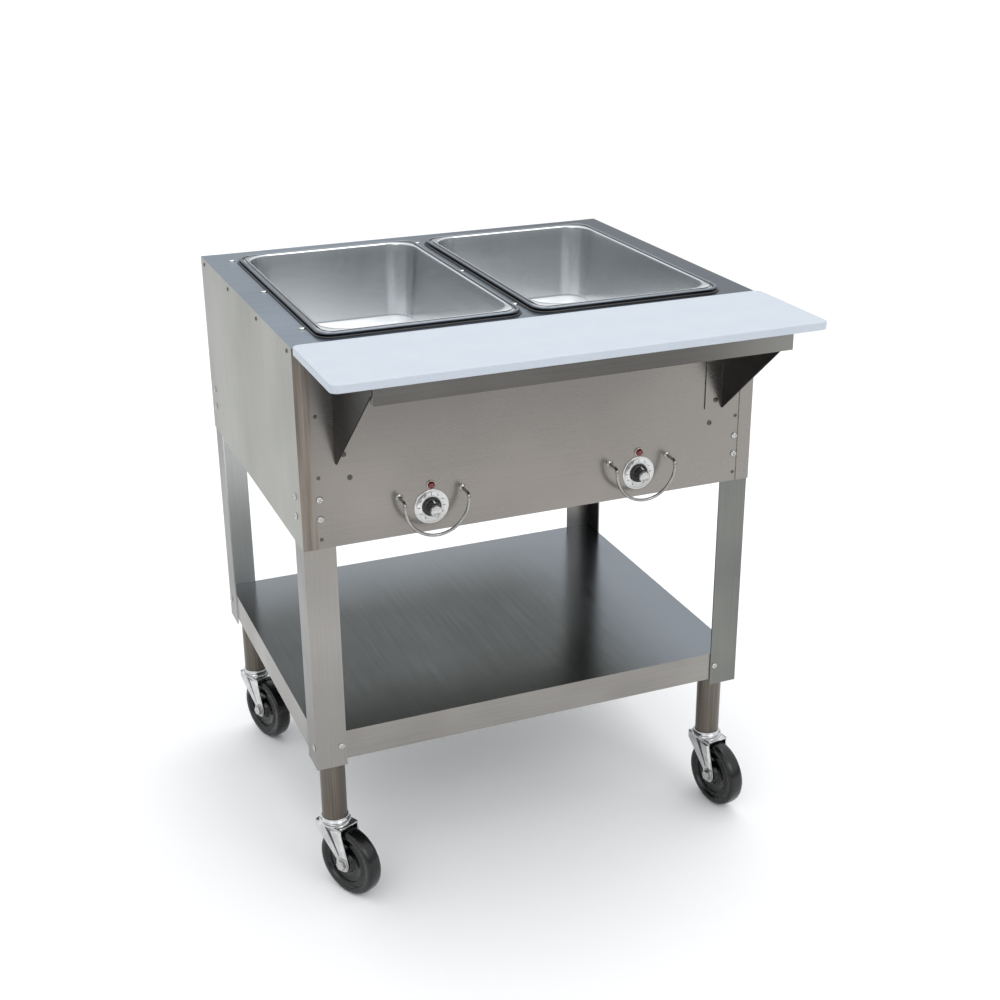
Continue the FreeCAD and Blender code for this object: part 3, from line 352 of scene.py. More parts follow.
SHEETS = [
    ("deck_top", deck_steel, "deck_stainless", 0.4, ()),
    ("front_panel", panel_front, "body_stainless", 0.3, ()),
    ("back_panel", panel_back, "body_stainless", 0.3, ()),
    # the left panel's front fold takes the painted shade copy of the steel
    ("side_panel_left", panel_side, "body_stainless", 0.4, [(shaded_corner_steel, looks(1, -1))]),
    ("side_panel_right", panel_side, "body_stainless", 0.4, [(panel_front, looks(1, -1))]),
    ("bottom_pan", panel_back, "body_stainless", 0.3, ()),
    ("undershelf", shelf_steel, "shelf_stainless", 1.1,
     [(lip_steel, looks(1, 0)), (lip_steel, looks(0, 0))]),
    ("board_support_rail", rail_steel, "rail_stainless", 0.4, ()),
    ("board_bracket_left", bracket_steel, "bracket_steel", 0.5, [(panel_front, looks(1, 0))]),
    ("board_bracket_right", bracket_steel, "bracket_steel", 0.5, [(panel_front, looks(1, 0))]),
    # each leg's faces take the lit and shaded copies of the steel by the way they look: painted light and
    # shade
    ("leg_front_left", leg_steel, "leg_stainless", 0.7, [(leg_flank, looks(0, 0))]),
    ("leg_front_right", leg_shaded, "leg_stainless", 0.7, ()),
    ("leg_rear_left", leg_flank, "leg_stainless", 0.7, [(leg_bright, looks(1, -1))]),
    ("leg_rear_right", leg_flank, "leg_stainless", 0.7,
     [(leg_painted_shade, looks(0, -1)), (leg_steel, looks(1, -1))]),
]
for node, material, slot, width, others in SHEETS:
    eased(node, material, width, others=others)
print("eased sheets:", len(SHEETS))

# %% [markdown]
# ## Lift-out pans
# A pan is one pressing: a rolled bead, a flat flange, drafted walls with generous corners, and a
# radius into the floor. It is built as a stack of rounded rectangles, each a little smaller or
# lower than the last, joined by strips of faces. Going round the metal, from the floor's
# underside out over the bead and back down the inside, closes the sheet with its real thickness.

# %% Rounded rectangles and stacks of them
CORNER_STEPS = 12


def ring(width, length, radius, z, centre):
    """Points round a rounded rectangle, anticlockwise seen from above."""
    points = []
    reach_x, reach_y = width / 2 - radius, length / 2 - radius
    for start, sx, sy in ((0, 1, 1), (90, -1, 1), (180, -1, -1), (270, 1, -1)):
        for step in range(CORNER_STEPS + 1):
            angle = math.radians(start + 90 * step / CORNER_STEPS)
            points.append(Vector((centre.x + sx * reach_x + radius * math.cos(angle),
                                  centre.y + sy * reach_y + radius * math.sin(angle), z)))
    return points


def stack(bm, rings):
    """Joins rings into a closed surface, with a flat face at each end."""
    loops = [[bm.verts.new(p) for p in points] for points in rings]
    for low, high in zip(loops, loops[1:]):
        count = len(low)
        for i in range(count):
            bm.faces.new((low[i], low[(i + 1) % count], high[(i + 1) % count], high[i]))
    bm.faces.new(loops[0][::-1])
    bm.faces.new(loops[-1])
    return bm


# %% The pans
PAN_STEEL = 1.0 * MM
PAN_DRAFT = math.tan(math.radians(4))
FLOOR_RADIUS = 22 * MM
MOUTH_WIDTH, MOUTH_LENGTH, MOUTH_RADIUS = 301 * MM, 506 * MM, 48 * MM
BEAD_RADIUS = 2.6 * MM
BEAD_STEPS = 12
PAN_DEPTH = 150 * MM
RIM_RADIUS = 25 * MM
FLOOR_STEPS = 8
MOUTH_STEPS = 4
# the stacking groove's section: inset from the rim's edge and drop from its top, in millimetres
GROOVE = ((5.0, 0.9), (5.3, 2.2), (5.8, 2.8), (8.6, 2.8), (9.2, 2.2), (9.5, 0.7), (10.2, 0.4))
WALL_DEPTHS = (0.02, 0.05, 0.09)


def pan_rings(low, high):
    """Rings round a pan's steel, and the number of the ring where the groove begins."""
    centre = (low + high) / 2
    rim_w, rim_l, top = high.x - low.x, high.y - low.y, high.z
    rings = []

    def wall(inset, depth):
        """Width, length and corner radius of the wall at a depth, inset by the sheet when inside."""
        shrink = 2 * (inset + depth * PAN_DRAFT)
        return (MOUTH_WIDTH - shrink, MOUTH_LENGTH - shrink, MOUTH_RADIUS - shrink / 2)

    def add_ring(size, z):
        rings.append(ring(size[0], size[1], size[2], z, centre))

    def add_floor_ring(turn, inset, radius):
        """One ring of the curve between floor and wall, where turn 0 is the flat floor."""
        w, l, r = wall(inset, PAN_DEPTH)
        pull = radius * (1 - math.sin(turn))
        add_ring((w - 2 * pull, l - 2 * pull, max(r - pull, 4 * MM)),
                 top - PAN_DEPTH + inset + radius * (1 - math.cos(turn)))

    # outside: floor, floor radius, then up the wall to the flange
    for k in range(FLOOR_STEPS + 1):
        add_floor_ring(math.radians(90 * k / FLOOR_STEPS), 0, FLOOR_RADIUS)
    for depth in (*WALL_DEPTHS[::-1], 0.006):
        add_ring(wall(0, depth), top - depth)
    add_ring(wall(-1.5 * MM, 0), top - 3.6 * MM)
    # flange underside, then round the rolled bead
    for k in range(BEAD_STEPS + 1):
        turn = math.radians(210 - 300 * k / BEAD_STEPS)
        grow = BEAD_RADIUS * math.cos(turn) - BEAD_RADIUS
        add_ring((rim_w + 2 * grow, rim_l + 2 * grow, RIM_RADIUS + grow),
                 top - BEAD_RADIUS - BEAD_RADIUS * math.sin(turn))
    # the stacking groove, the rounded mouth, and down the inside to the floor
    groove_at = len(rings)
    for inset, drop in GROOVE:
        add_ring((rim_w - 2 * inset * MM, rim_l - 2 * inset * MM, RIM_RADIUS - inset * MM / 2),
                 top - drop * MM)
    add_ring((MOUTH_WIDTH + 3.2 * MM, MOUTH_LENGTH + 3.2 * MM, MOUTH_RADIUS), top - 0.4 * MM)
    for k in range(1, MOUTH_STEPS + 1):
        turn = math.radians(90 * k / MOUTH_STEPS)
        fall = 1 - math.cos(turn)
        spread = 2.8 * MM * (1 - math.sin(turn))
        w, l, r = wall(PAN_STEEL, 3 * MM * fall)
        add_ring((w + spread, l + spread, r + spread / 2), top - 0.4 * MM - 3.2 * MM * fall)
    for depth in WALL_DEPTHS:
        add_ring(wall(PAN_STEEL, depth), top - depth)
    for k in range(FLOOR_STEPS + 1):
        turn = math.radians(90 - 90 * k / FLOOR_STEPS)
        add_floor_ring(turn, PAN_STEEL, FLOOR_RADIUS - PAN_STEEL)
    return rings, groove_at


for side in ("left", "right"):
    low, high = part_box("pan_" + side)
    rings, groove_at = pan_rings(low, high)
    bm = stack(bmesh.new(), rings)
    bm.normal_update()
    bm.faces.index_update()
    for face in bm.faces:
        face.smooth = len(face.verts) == 4
        strip = face.index // len(rings[0])
        # floor faces take the painted highlight, groove and bead faces the painted shade copies
        floored = face.calc_center_median().z < low.z + FLOOR_RADIUS and face.normal.z > 0.25
        grooved = groove_at <= strip < groove_at + len(GROOVE) - 2
        beaded = groove_at - BEAD_STEPS - 1 <= strip < groove_at
        face.material_index = 1 if floored else 2 if grooved else 3 if beaded else 0
    pan = object_from("steam_pan_" + side, bm, pan_steel, pan_floor_painted_light, pan_groove_painted_shade, pan_bead)
    place_piece(pan, "pan_" + side, ["pan_" + side])
    print(pan.name, len(pan.data.polygons), "faces")

# %% [markdown]
# Round each well a thin near-black ring lies on the deck, tucked under the rim. It is painted
# shade for the shadow gap under the rim. It is a low ring between two rounded rectangles, and it
# gives each pan the crisp dark outline that separates the bright rim from the deck.

# %% A ring of painted shade round the wells
SHADE_OUT, SHADE_IN, SHADE_HIGH = 3.6 * MM, 1.5 * MM, 2.2 * MM
# outwards from the rim, and up as a share of the ring's height
SHADE_PROFILE = [(-SHADE_IN, 0.05), (SHADE_OUT, 0.05), (SHADE_OUT - 0.5 * MM, 0.6),
                (SHADE_OUT - 1.8 * MM, 1.0), (-SHADE_IN, 1.0)]
deck_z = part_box("deck_top")[1].z
for side in ("left", "right"):
    low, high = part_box("pan_" + side)
    centre = (low + high) / 2
    wide, long = high.x - low.x, high.y - low.y
    bm = bmesh.new()
    loops = []
    for out, up in SHADE_PROFILE:
        points = ring(wide + 2 * out, long + 2 * out, RIM_RADIUS + out, deck_z + up * SHADE_HIGH, centre)
        loops.append([bm.verts.new(p) for p in points])
    for first, second in zip(loops, loops[1:] + loops[:1]):
        for i, vert in enumerate(first):
            after = (i + 1) % len(first)
            bm.faces.new((vert, first[after], second[after], second[i])).smooth = True
    bmesh.ops.recalc_face_normals(bm, faces=bm.faces)
    place_piece(object_from("well_sealant_" + side, bm, rim_shade), "frame", [])
print("sealant beads: 2")

# %% [markdown]
# ## Cutting board
# The board is sawn from extruded polyethylene sheet, its two outer corners are rounded and every
# edge is routed with a small radius. The same stack of rounded rectangles makes it, with the
# first and last few rings stepping in along a quarter circle.

# %% The board
low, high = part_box("cutting_board")
board_centre = (low + high) / 2
EDGE, BOARD_CORNER, EDGE_STEPS = 1.8 * MM, 12 * MM, 4


def board_ring(turn, z):
    inset = EDGE * (1 - math.sin(turn))
    return ring(high.x - low.x - 2 * inset, high.y - low.y - 2 * inset, BOARD_CORNER - inset, z,
                board_centre)


turns = [math.radians(90 * k / EDGE_STEPS) for k in range(EDGE_STEPS + 1)]
rings = [board_ring(turn, low.z + EDGE * (1 - math.cos(turn))) for turn in turns]
rings += [board_ring(turn, high.z - EDGE * (1 - math.cos(turn))) for turn in reversed(turns)]
bm = stack(bmesh.new(), rings)
for face in bm.faces:
    face.smooth = len(face.verts) == 4
board = object_from("poly_cutting_board", bm, board_poly)
place_piece(board, "board", ["cutting_board"])
print(board.name, "is", round(high.x - low.x, 3), "m long")

# %% [markdown]
# ## Turned pieces
# Tyres, hubs, knobs, lamp lenses and screw heads are all round about one line. A lathe function
# takes a profile of radius and height pairs and turns it, and an optional flute wave pulls the
# radius in and out on the way round, which is how a knob gets its grip.

# %% Lathe
def turned(bm, profile, place, steps=48, flutes=0, flute_depth=0.0, material=0, smooth=True):
    """Turns (radius, height) pairs about local Z, then puts the result in place.
    A third value in a pair marks a ring that the flutes cut into."""
    loops = []
    for radius, height, *grip in profile:
        cut = flute_depth if grip else 0.0
        loop = []
        for i in range(steps):
            angle = 2 * math.pi * i / steps
            r = max(radius - cut * (0.5 - 0.5 * math.cos(flutes * angle)), 0.01 * MM)
            spot = Vector((r * math.cos(angle), r * math.sin(angle), height))
            loop.append(bm.verts.new(place @ spot))
        loops.append(loop)
    for low_loop, high_loop in zip(loops, loops[1:]):
        for i in range(steps):
            after = (i + 1) % steps
            face = bm.faces.new((low_loop[i], low_loop[after], high_loop[after], high_loop[i]))
            face.material_index = material
            face.smooth = smooth
    for loop in (loops[0][::-1], loops[-1]):
        bm.faces.new(loop).material_index = material


def facing(origin, direction):
    """Matrix that stands local Z along a direction at an origin."""
    stand = Vector(direction).to_track_quat("Z", "Y").to_matrix().to_4x4()
    return Matrix.Translation(origin) @ stand


UP = Matrix.Identity(4)
print("lathe ready")

# %% [markdown]
# ## Knobs, dials, lamps and guards
# Each well has a heat switch. Its dial plate is a bright disc with a pressed rim and printed
# ticks, the knob on it has a fluted black body and a spun metal cap, and a red lamp sits above.
# A wire guard in front keeps hips and pans off the knob.

# %% Sections of the turned pieces, as radius and height in millimetres
KNOB_BODY = [(6.4, 0), (14.2, 0), (15, 0.6), (15, 2.2), (14, 3), (12.2, 3.6, 1), (11.4, 10, 1),
             (10.8, 14.6, 1), (10, 15.4), (9.6, 15.5)]
KNOB_CAP = [(9.4, 15), (9.4, 20), (9, 21.4), (8.2, 22.1), (6.8, 22.2), (6.4, 21.8), (0.2, 21.9)]
KNOB_FLUTES, FLUTE_DEPTH = 12, 1.1 * MM
POINTER = (2.0 * MM, 9 * MM, 2.4 * MM)
DIAL_PLATE = [(5.3, 0), (28.3, 0), (28.5, 0.4), (28.2, 1.2), (27.2, 1.5), (26, 1.45), (25.2, 1),
              (17, 1), (16.4, 1.35), (15.8, 1), (5.3, 0.9)]
LAMP_BEZEL = [(7.3, 0), (7.5, 0.3), (7.4, 1.4), (6.8, 2), (6.2, 1.9)]
LAMP_DOME = [(6.3, 1.2)]
for degrees in (0, 15, 30, 45, 60, 75, 87):
    angle = math.radians(degrees)
    LAMP_DOME.append((6.2 * math.cos(angle), 1.9 + 6 * math.sin(angle)))
OUTWARD = (0, -1, 0)


def in_metres(profile):
    return [(radius * MM, height * MM, *grip) for radius, height, *grip in profile]


# %% Knobs and lamps
for side in ("left", "right"):
    low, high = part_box("knob_" + side)
    # heights are measured outwards from the knob's back face
    axis_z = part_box("knob_shaft_" + side)[0].z + 3.2 * MM
    back = facing(((low.x + high.x) / 2, high.y, axis_z), OUTWARD)
    bm = bmesh.new()
    turned(bm, in_metres(KNOB_BODY), back, steps=72, flutes=KNOB_FLUTES, flute_depth=FLUTE_DEPTH)
    turned(bm, in_metres(KNOB_CAP), back, steps=48, material=1)
    spot = (back.translation.x, high.y - 9.5 * MM, axis_z + 11.6 * MM)
    pointer = bmesh.ops.create_cube(
        bm, size=1.0, matrix=Matrix.Translation(spot) @ Matrix.Diagonal((*POINTER, 1)))
    for face in {f for v in pointer["verts"] for f in v.link_faces}:
        face.material_index = 2
    knob = object_from("switch_knob_" + side, bm, phenolic, cap_metal, dial_plate)
    place_piece(knob, "knob_" + side, ["knob_" + side])

    low_dial, high_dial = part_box("knob_bezel_" + side)
    seat = facing(((low.x + high.x) / 2, high_dial.y, (low_dial.z + high_dial.z) / 2), OUTWARD)
    bm = bmesh.new()
    turned(bm, in_metres(DIAL_PLATE), seat, steps=96)
    plate = object_from("dial_plate_" + side, bm, dial_plate)
    place_piece(plate, "frame", ["knob_bezel_" + side])

    low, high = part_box("indicator_lamp_" + side)
    lamp_seat = facing(((low.x + high.x) / 2, high_dial.y, (low.z + high.z) / 2), OUTWARD)
    bm = bmesh.new()
    turned(bm, in_metres(LAMP_BEZEL), lamp_seat, steps=40)
    turned(bm, in_metres(LAMP_DOME), lamp_seat, steps=40, material=1)
    lamp = object_from("indicator_lens_" + side, bm, screw_steel, lens)
    place_piece(lamp, "frame", ["indicator_lamp_" + side])
print("knobs, dials and lamps made")

# %% [markdown]
# The guard is one length of 5 mm wire: it leaves the panel, turns down through a small bend, runs
# round a half circle and comes back. A curve with a round bevel follows that path exactly, and
# is made a mesh so that its place is in its points.

# %% Guards
GUARD_RADIUS, GUARD_BEND, GUARD_WIRE, GUARD_OUT = 52 * MM, 8 * MM, 2.5 * MM, 28 * MM
BEND_STEPS, HALF_STEPS = 6, 32
GUARD_FOOT = [(5.8, 0), (6, 0.3), (5.6, 1), (3.4, 1.2), (2.6, 2.4)]


def guard_path(centre, panel_y):
    plane = panel_y - GUARD_OUT
    ends = []
    for sign in (-1, 1):
        x = centre.x + sign * GUARD_RADIUS
        run = [Vector((x, panel_y + 0.4 * MM, centre.z + GUARD_BEND)),
               Vector((x, panel_y - 10 * MM, centre.z + GUARD_BEND))]
        for k in range(BEND_STEPS + 1):
            turn = math.radians(90 * k / BEND_STEPS)
            run.append(Vector((x, plane + GUARD_BEND - GUARD_BEND * math.sin(turn),
                               centre.z + GUARD_BEND * math.cos(turn))))
        ends.append(run)
    half = []
    for k in range(1, HALF_STEPS):
        turn = math.pi * k / HALF_STEPS
        half.append(Vector((centre.x - GUARD_RADIUS * math.cos(turn), plane,
                            centre.z - GUARD_RADIUS * math.sin(turn))))
    return ends[0] + half + ends[1][::-1]


def wire_mesh(name, points, radius, material):
    curve = bpy.data.curves.new(name, "CURVE")
    curve.dimensions = "3D"
    curve.bevel_depth = radius
    curve.bevel_resolution = 5
    curve.use_fill_caps = True
    line = curve.splines.new("POLY")
    line.points.add(len(points) - 1)
    for spot, point in zip(line.points, points):
        spot.co = (*point, 1.0)
    line.use_smooth = True
    piece = bpy.data.objects.new(name, curve)
    COLLECTION.objects.link(piece)
    seen = piece.evaluated_get(bpy.context.evaluated_depsgraph_get())
    mesh = bpy.data.meshes.new_from_object(seen)
    bpy.data.objects.remove(piece)
    mesh.materials.append(material)
    mesh.name = name
    made = bpy.data.objects.new(name, mesh)
    COLLECTION.objects.link(made)
    return made


for side in ("left", "right"):
    low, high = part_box("knob_guard_" + side)
    panel_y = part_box("knob_bezel_" + side)[1].y
    centre = Vector(((low.x + high.x) / 2, 0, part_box("knob_shaft_" + side)[0].z + 18.2 * MM))
    guard = wire_mesh("wire_guard_" + side, guard_path(centre, panel_y), GUARD_WIRE, wire_steel)
    bm = bmesh.new()
    bm.from_mesh(guard.data)
    for sign in (-1, 1):
        foot = facing((centre.x + sign * GUARD_RADIUS, panel_y, centre.z + GUARD_BEND), OUTWARD)
        turned(bm, in_metres(GUARD_FOOT), foot, steps=28)
    bm.to_mesh(guard.data)
    bm.free()
    place_piece(guard, "frame", ["knob_guard_" + side])
print("guards made")

# %% [markdown]
# ## Fasteners and dial ticks
# Bolts, rivets, screws and the ticks on a dial are the same small shape set down again and
# again, which is work for Geometry Nodes. The points carry which way each head faces and how far
# it is turned; the tree puts a head on every point, adds a seeded random turn, realises the
# copies and sets the finish. The result is taken as a plain mesh.

# %% A tree that sets heads on points
def scatter_tree():
    tree = bpy.data.node_groups.new("set_heads_on_points", "GeometryNodeTree")
    face = tree.interface
    face.new_socket("Points", in_out="INPUT", socket_type="NodeSocketGeometry")
    face.new_socket("Head", in_out="INPUT", socket_type="NodeSocketObject")
    face.new_socket("Random turn", in_out="INPUT", socket_type="NodeSocketFloat")
    face.new_socket("Seed", in_out="INPUT", socket_type="NodeSocketInt")
    face.new_socket("Finish", in_out="INPUT", socket_type="NodeSocketMaterial")
    face.new_socket("Geometry", in_out="OUTPUT", socket_type="NodeSocketGeometry")
    given = add(tree, "NodeGroupInput").outputs
    way = add(tree, "GeometryNodeInputNamedAttribute", {"Name": "way"}, data_type="FLOAT_VECTOR")
    own = add(tree, "GeometryNodeInputNamedAttribute", {"Name": "turn"}, data_type="FLOAT")
    stand = add(tree, "FunctionNodeAlignRotationToVector", {"Vector": way.outputs[0]}, axis="Z")
    head = add(tree, "GeometryNodeObjectInfo", {"Object": given["Head"]})
    chance = add(tree, "FunctionNodeRandomValue", {2: 0.0, 3: given["Random turn"], "Seed": given["Seed"]})
    total = add(tree, "ShaderNodeMath", {0: own.outputs[0], 1: chance.outputs[1]}, operation="ADD")
    spin = add(tree, "ShaderNodeCombineXYZ", {"Z": total.outputs[0]})
    copies = add(tree, "GeometryNodeInstanceOnPoints", {
        "Points": given["Points"], "Instance": head.outputs["Geometry"],
        "Rotation": stand.outputs[0]})
    turned_copies = add(tree, "GeometryNodeRotateInstances", {
        "Instances": copies.outputs[0], "Rotation": spin.outputs[0]})
    real = add(tree, "GeometryNodeRealizeInstances", {0: turned_copies.outputs[0]})
    painted = add(tree, "GeometryNodeSetMaterial", {0: real.outputs[0], "Material": given["Finish"]})
    add(tree, "NodeGroupOutput", {0: painted.outputs[0]})
    return tree


HEADS_TREE = scatter_tree()


def set_heads(name, points, head, finish, seed=1, random_turn=0.0):
    """points: (place, direction, turn) for each head."""
    mesh = bpy.data.meshes.new(name)
    mesh.from_pydata([p for p, _, _ in points], [], [])
    mesh.attributes.new("way", "FLOAT_VECTOR", "POINT")
    mesh.attributes.new("turn", "FLOAT", "POINT")
    for i, (_, direction, turn) in enumerate(points):
        mesh.attributes["way"].data[i].vector = direction
        mesh.attributes["turn"].data[i].value = turn
    piece = bpy.data.objects.new(name, mesh)
    COLLECTION.objects.link(piece)
    modifier = piece.modifiers.new("heads", "NODES")
    modifier.node_group = HEADS_TREE
    inputs = [item for item in HEADS_TREE.interface.items_tree if item.in_out == "INPUT"]
    ids = {item.name: item.identifier for item in inputs}
    values = {"Head": head, "Random turn": random_turn, "Seed": seed, "Finish": finish}
    for key, value in values.items():
        modifier[ids[key]] = value
    piece = settle(piece)
    for attribute in ("way", "turn"):
        if attribute in piece.data.attributes:
            piece.data.attributes.remove(piece.data.attributes[attribute])
    return piece


print("tree", HEADS_TREE.name, "has", len(HEADS_TREE.nodes), "nodes")

# %% [markdown]
# The heads themselves are lathe work, and a boolean cuts the cross recess of a bolt or screw.
# A rivet has a low dome with the dimple its mandrel leaves.

# %% Heads
# sections as shares of the head's radius and height
DOME = [(0.97, 0), (1, 0.12), (0.985, 0.3), (0.9, 0.58), (0.72, 0.82), (0.46, 0.95), (0.2, 1)]
RIVET_DOME = [(0.97, 0), (1, 0.2), (0.86, 0.62), (0.6, 0.92), (0.4, 1), (0.34, 0.7)]
TIP = 0.02 * MM


def domed_head(name, radius, height, recess):
    """A domed head with a cross recess for a driver."""
    bm = bmesh.new()
    turned(bm, [(radius * r, height * z) for r, z in DOME] + [(TIP, height)], UP, steps=28)
    head = object_from(name, bm)
    slot = Matrix.Diagonal((radius * 0.95, radius * 0.2, recess * 2, 1))
    bm = bmesh.new()
    for angle in (0, 90):
        cut = Matrix.Translation((0, 0, height)) @ Matrix.Rotation(math.radians(angle), 4, "Z")
        bmesh.ops.create_cube(bm, size=1.0, matrix=cut @ slot)
    tool = object_from(name + "_tool", bm)
    cutter = head.modifiers.new("recess", "BOOLEAN")
    cutter.object = tool
    cutter.operation = "DIFFERENCE"
    cutter.solver = "EXACT"
    cutter.use_self = True
    settle(head)
    bpy.data.objects.remove(tool)
    return head


def rivet_head(name, radius, height):
    bm = bmesh.new()
    section = [(radius * r, height * z) for r, z in RIVET_DOME] + [(TIP, height * 0.62)]
    turned(bm, section, UP, steps=20)
    return object_from(name, bm)


bolt_head = domed_head("bolt_head", 5.5 * MM, 3.0 * MM, recess=1.2 * MM)
screw_head = domed_head("screw_head", 5.4 * MM, 2.6 * MM, recess=1.0 * MM)
small_head = domed_head("small_screw_head", 4.2 * MM, 2.0 * MM, recess=0.9 * MM)
side_rivet = rivet_head("side_rivet_head", 3.6 * MM, 1.5 * MM)
front_rivet = rivet_head("front_rivet_head", 3.0 * MM, 1.2 * MM)
print("heads made")

# %% Where the fasteners go
# each point is a place, the way the head faces and its own turn
side_low, side_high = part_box("side_panel_left")
X_SIDE, Y_FRONT, Y_BACK = -side_low.x, side_low.y, side_high.y
Z_BASE, Z_DECK = side_low.z, side_high.z
SHEET = 1.2 * MM
Y_FACE = {-1: Y_FRONT + SHEET, 1: Y_BACK - SHEET}
FOLD_MIDDLE = 30 * MM
HALF_TURN = math.pi

leg_points, rivet_points, front_rivets, shelf_points = [], [], [], []
shelf_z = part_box("undershelf")[1].z - 25 * MM
for sx in (-1, 1):
    fold_x = sx * (X_SIDE - FOLD_MIDDLE)
    for sy in (-1, 1):
        end = Y_FRONT if sy < 0 else Y_BACK
        for up in (48, 80):
            leg_points.append(((fold_x, Y_FACE[sy], Z_BASE + up * MM), (0, sy, 0), 0))
            leg_points.append(((sx * X_SIDE, end - sy * FOLD_MIDDLE, Z_BASE + up * MM), (sx, 0, 0), 0))
        for up in (15, 115, 212):
            front_rivets.append(((fold_x, Y_FACE[sy], Z_BASE + up * MM), (0, sy, 0), 0))
        shelf_x = sx * (X_SIDE - 44 * MM)
        shelf_points.append(((shelf_x, end - sy * 2 * SHEET, shelf_z), (0, sy, 0), 0))
        shelf_points.append(((sx * (X_SIDE - SHEET), end - sy * 14 * MM, shelf_z), (sx, 0, 0), 0))
    for along in (25, 210, 406, 591):
        rivet_points.append(((sx * X_SIDE, Y_FRONT + along * MM, Z_DECK - 10 * MM), (sx, 0, 0), 0))
deck_points = [((x * MM, Y_FRONT + y * MM, Z_DECK), (0, 0, 1), 0)
               for x in (-344, 0, 344) for y in (93, 326, 556)]
# two screws through each bracket's flange, and one rivet in the panel below it
bracket_points = []
for sx in (-1, 1):
    for inset, up, lift in ((70, 148, 2), (70, 270, 2), (78.5, 109, 0)):
        place = (sx * (X_SIDE - inset * MM), Y_FACE[-1] - lift * MM, Z_BASE + up * MM)
        bracket_points.append((place, (0, -1, 0), 0))

FASTENERS = [
    ("leg_bolt_heads", leg_points, bolt_head, screw_steel, "panel_bolts", 3),
    ("deck_screw_heads", deck_points, screw_head, zinc, "deck_screws", 5),
    ("shelf_bolt_heads", shelf_points, screw_head, screw_steel, "shelf_bolts", 7),
    ("bracket_screw_heads", bracket_points, small_head, rivet_steel, "bracket_screws", 11),
]
for name, points, head, finish, node, seed in FASTENERS:
    piece = set_heads(name, points, head, finish, seed=seed, random_turn=HALF_TURN)
    place_piece(piece, "frame", [node])
    print(name, len(points), "heads")
rivets = set_heads("side_rivet_row", rivet_points, side_rivet, rivet_steel)
place_piece(rivets, "frame", ["body_rivets"])
corner_rivets = set_heads("corner_rivets", front_rivets, front_rivet, rivet_steel)
place_piece(corner_rivets, "frame", [])

# %% Dial ticks
bm = bmesh.new()
bmesh.ops.create_cube(bm, size=1.0, matrix=Matrix.Diagonal((0.9 * MM, 5.0 * MM, 0.25 * MM, 1)))
tick = object_from("tick_mark", bm)
TICKS = 11
TICK_RING = 21 * MM
for side in ("left", "right"):
    low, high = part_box("knob_bezel_" + side)
    centre = (low + high) / 2
    points = []
    for k in range(TICKS):
        angle = math.radians(-150 + 300 * k / (TICKS - 1))
        spot = (centre.x + TICK_RING * math.sin(angle), low.y + 0.5 * MM,
                centre.z + TICK_RING * math.cos(angle))
        points.append((spot, OUTWARD, angle))
    marks = set_heads("dial_ticks_" + side, points, tick, ink)
    place_piece(marks, "frame", [])
for head in (bolt_head, screw_head, small_head, side_rivet, front_rivet, tick):
    bpy.data.objects.remove(head)
print("ticks on each dial:", TICKS)

# %% [markdown]
# ## Casters
# A caster is a stamped, plated fork over a moulded wheel. The fork, the stem and the post keep
# the frame's shape with broken edges. The wheel is turned again here, because a real tread has a
# soft crown, a recessed web with a raised ring, and a hub boss.

# %% Wheels
# half a section, as radius and distance from the middle plane: crown, shoulder, sidewall groove,
# web with its raised ring, hub boss and bore
WHEEL_HALF_PROFILE = [
    (60.0, 2.0), (59.8, 5.5), (59.3, 9.0), (58.3, 11.4), (56.5, 13.3), (53.5, 14.0), (48.5, 13.8),
    (47.0, 12.8), (45.5, 9.2), (43.0, 8.6), (35.5, 9.2), (34.5, 10.4), (31.5, 10.4), (30.5, 9.4),
    (20.0, 9.8), (18.2, 10.8), (17.2, 16.2), (16.0, 17.0), (9.0, 17.0), (6.1, 17.0)]
WHEEL_PROFILE = [(r, -h) for r, h in reversed(WHEEL_HALF_PROFILE)] + WHEEL_HALF_PROFILE
joint_to = {j["child"]: j for j in frame["joints"]}
CORNERS = ("front_left", "front_right", "rear_left", "rear_right")
for corner in CORNERS:
    roll = joint_to["wheel_" + corner]
    bm = bmesh.new()
    turned(bm, in_metres(WHEEL_PROFILE), facing(roll["pos_m"], roll["axis"]), steps=96)
    # the bore is a tube through the hub, so the two end faces are opened and joined
    ends = [f for f in bm.faces if len(f.verts) > 4]
    rims = [e for f in ends for e in f.edges]
    bmesh.ops.delete(bm, geom=ends, context="FACES_ONLY")
    bmesh.ops.bridge_loops(bm, edges=rims)
    bmesh.ops.recalc_face_normals(bm, faces=bm.faces)
    wheel = object_from("caster_tyre_" + corner, bm, tyre)
    place_piece(wheel, "wheel_" + corner, ["caster_wheel_" + corner])
print("wheels: 4, of", len(WHEEL_PROFILE), "rings each")

# %% [markdown]
# A fork is stamped from 2.5 mm strip: the blank is pressed into a U over the wheel, each leg
# tapers to a round eye for the axle, and a broad rib is pressed outwards down each leg to
# stiffen it. The rib is what the eye notices, because its steep side turns away from the light.
# The fork is drawn in its own axes, with X along the trail, and then turned to its heading.

# %% Forks, axles, stems and posts
FORK_IN, FORK_SHEET = 18.0, 2.5
EYE_X, EYE_Z, EYE_R = 33.0, 60.0, 14.0
RIB_OUT = 3.0
LUG_LOW, LUG_HIGH = 244.1 * MM, 252.9 * MM
FORK_TOP, FORK_BACK, FORK_FRONT, CROWN_FLOOR = 126, -26, 33, 122.8
fork_outline = [(FORK_BACK, FORK_TOP), (FORK_BACK, 112), (19.5, 66)]
for degrees in (0, 22, 45, 67, 90, 113, 135, 158, 180):
    angle = math.radians(degrees)
    fork_outline.append((EYE_X - EYE_R * math.cos(angle), EYE_Z - EYE_R * math.sin(angle)))
fork_outline += [(46.5, 68), (FORK_FRONT, 115), (FORK_FRONT, FORK_TOP)]
CROWN_CUP = [(27, 125.5), (27, 127.5), (25.6, 130.4), (25, 131), (8.1, 131)]
WASHER = [(12.5, 0), (12.5, 1.2), (12, 1.6), (8, 1.6)]
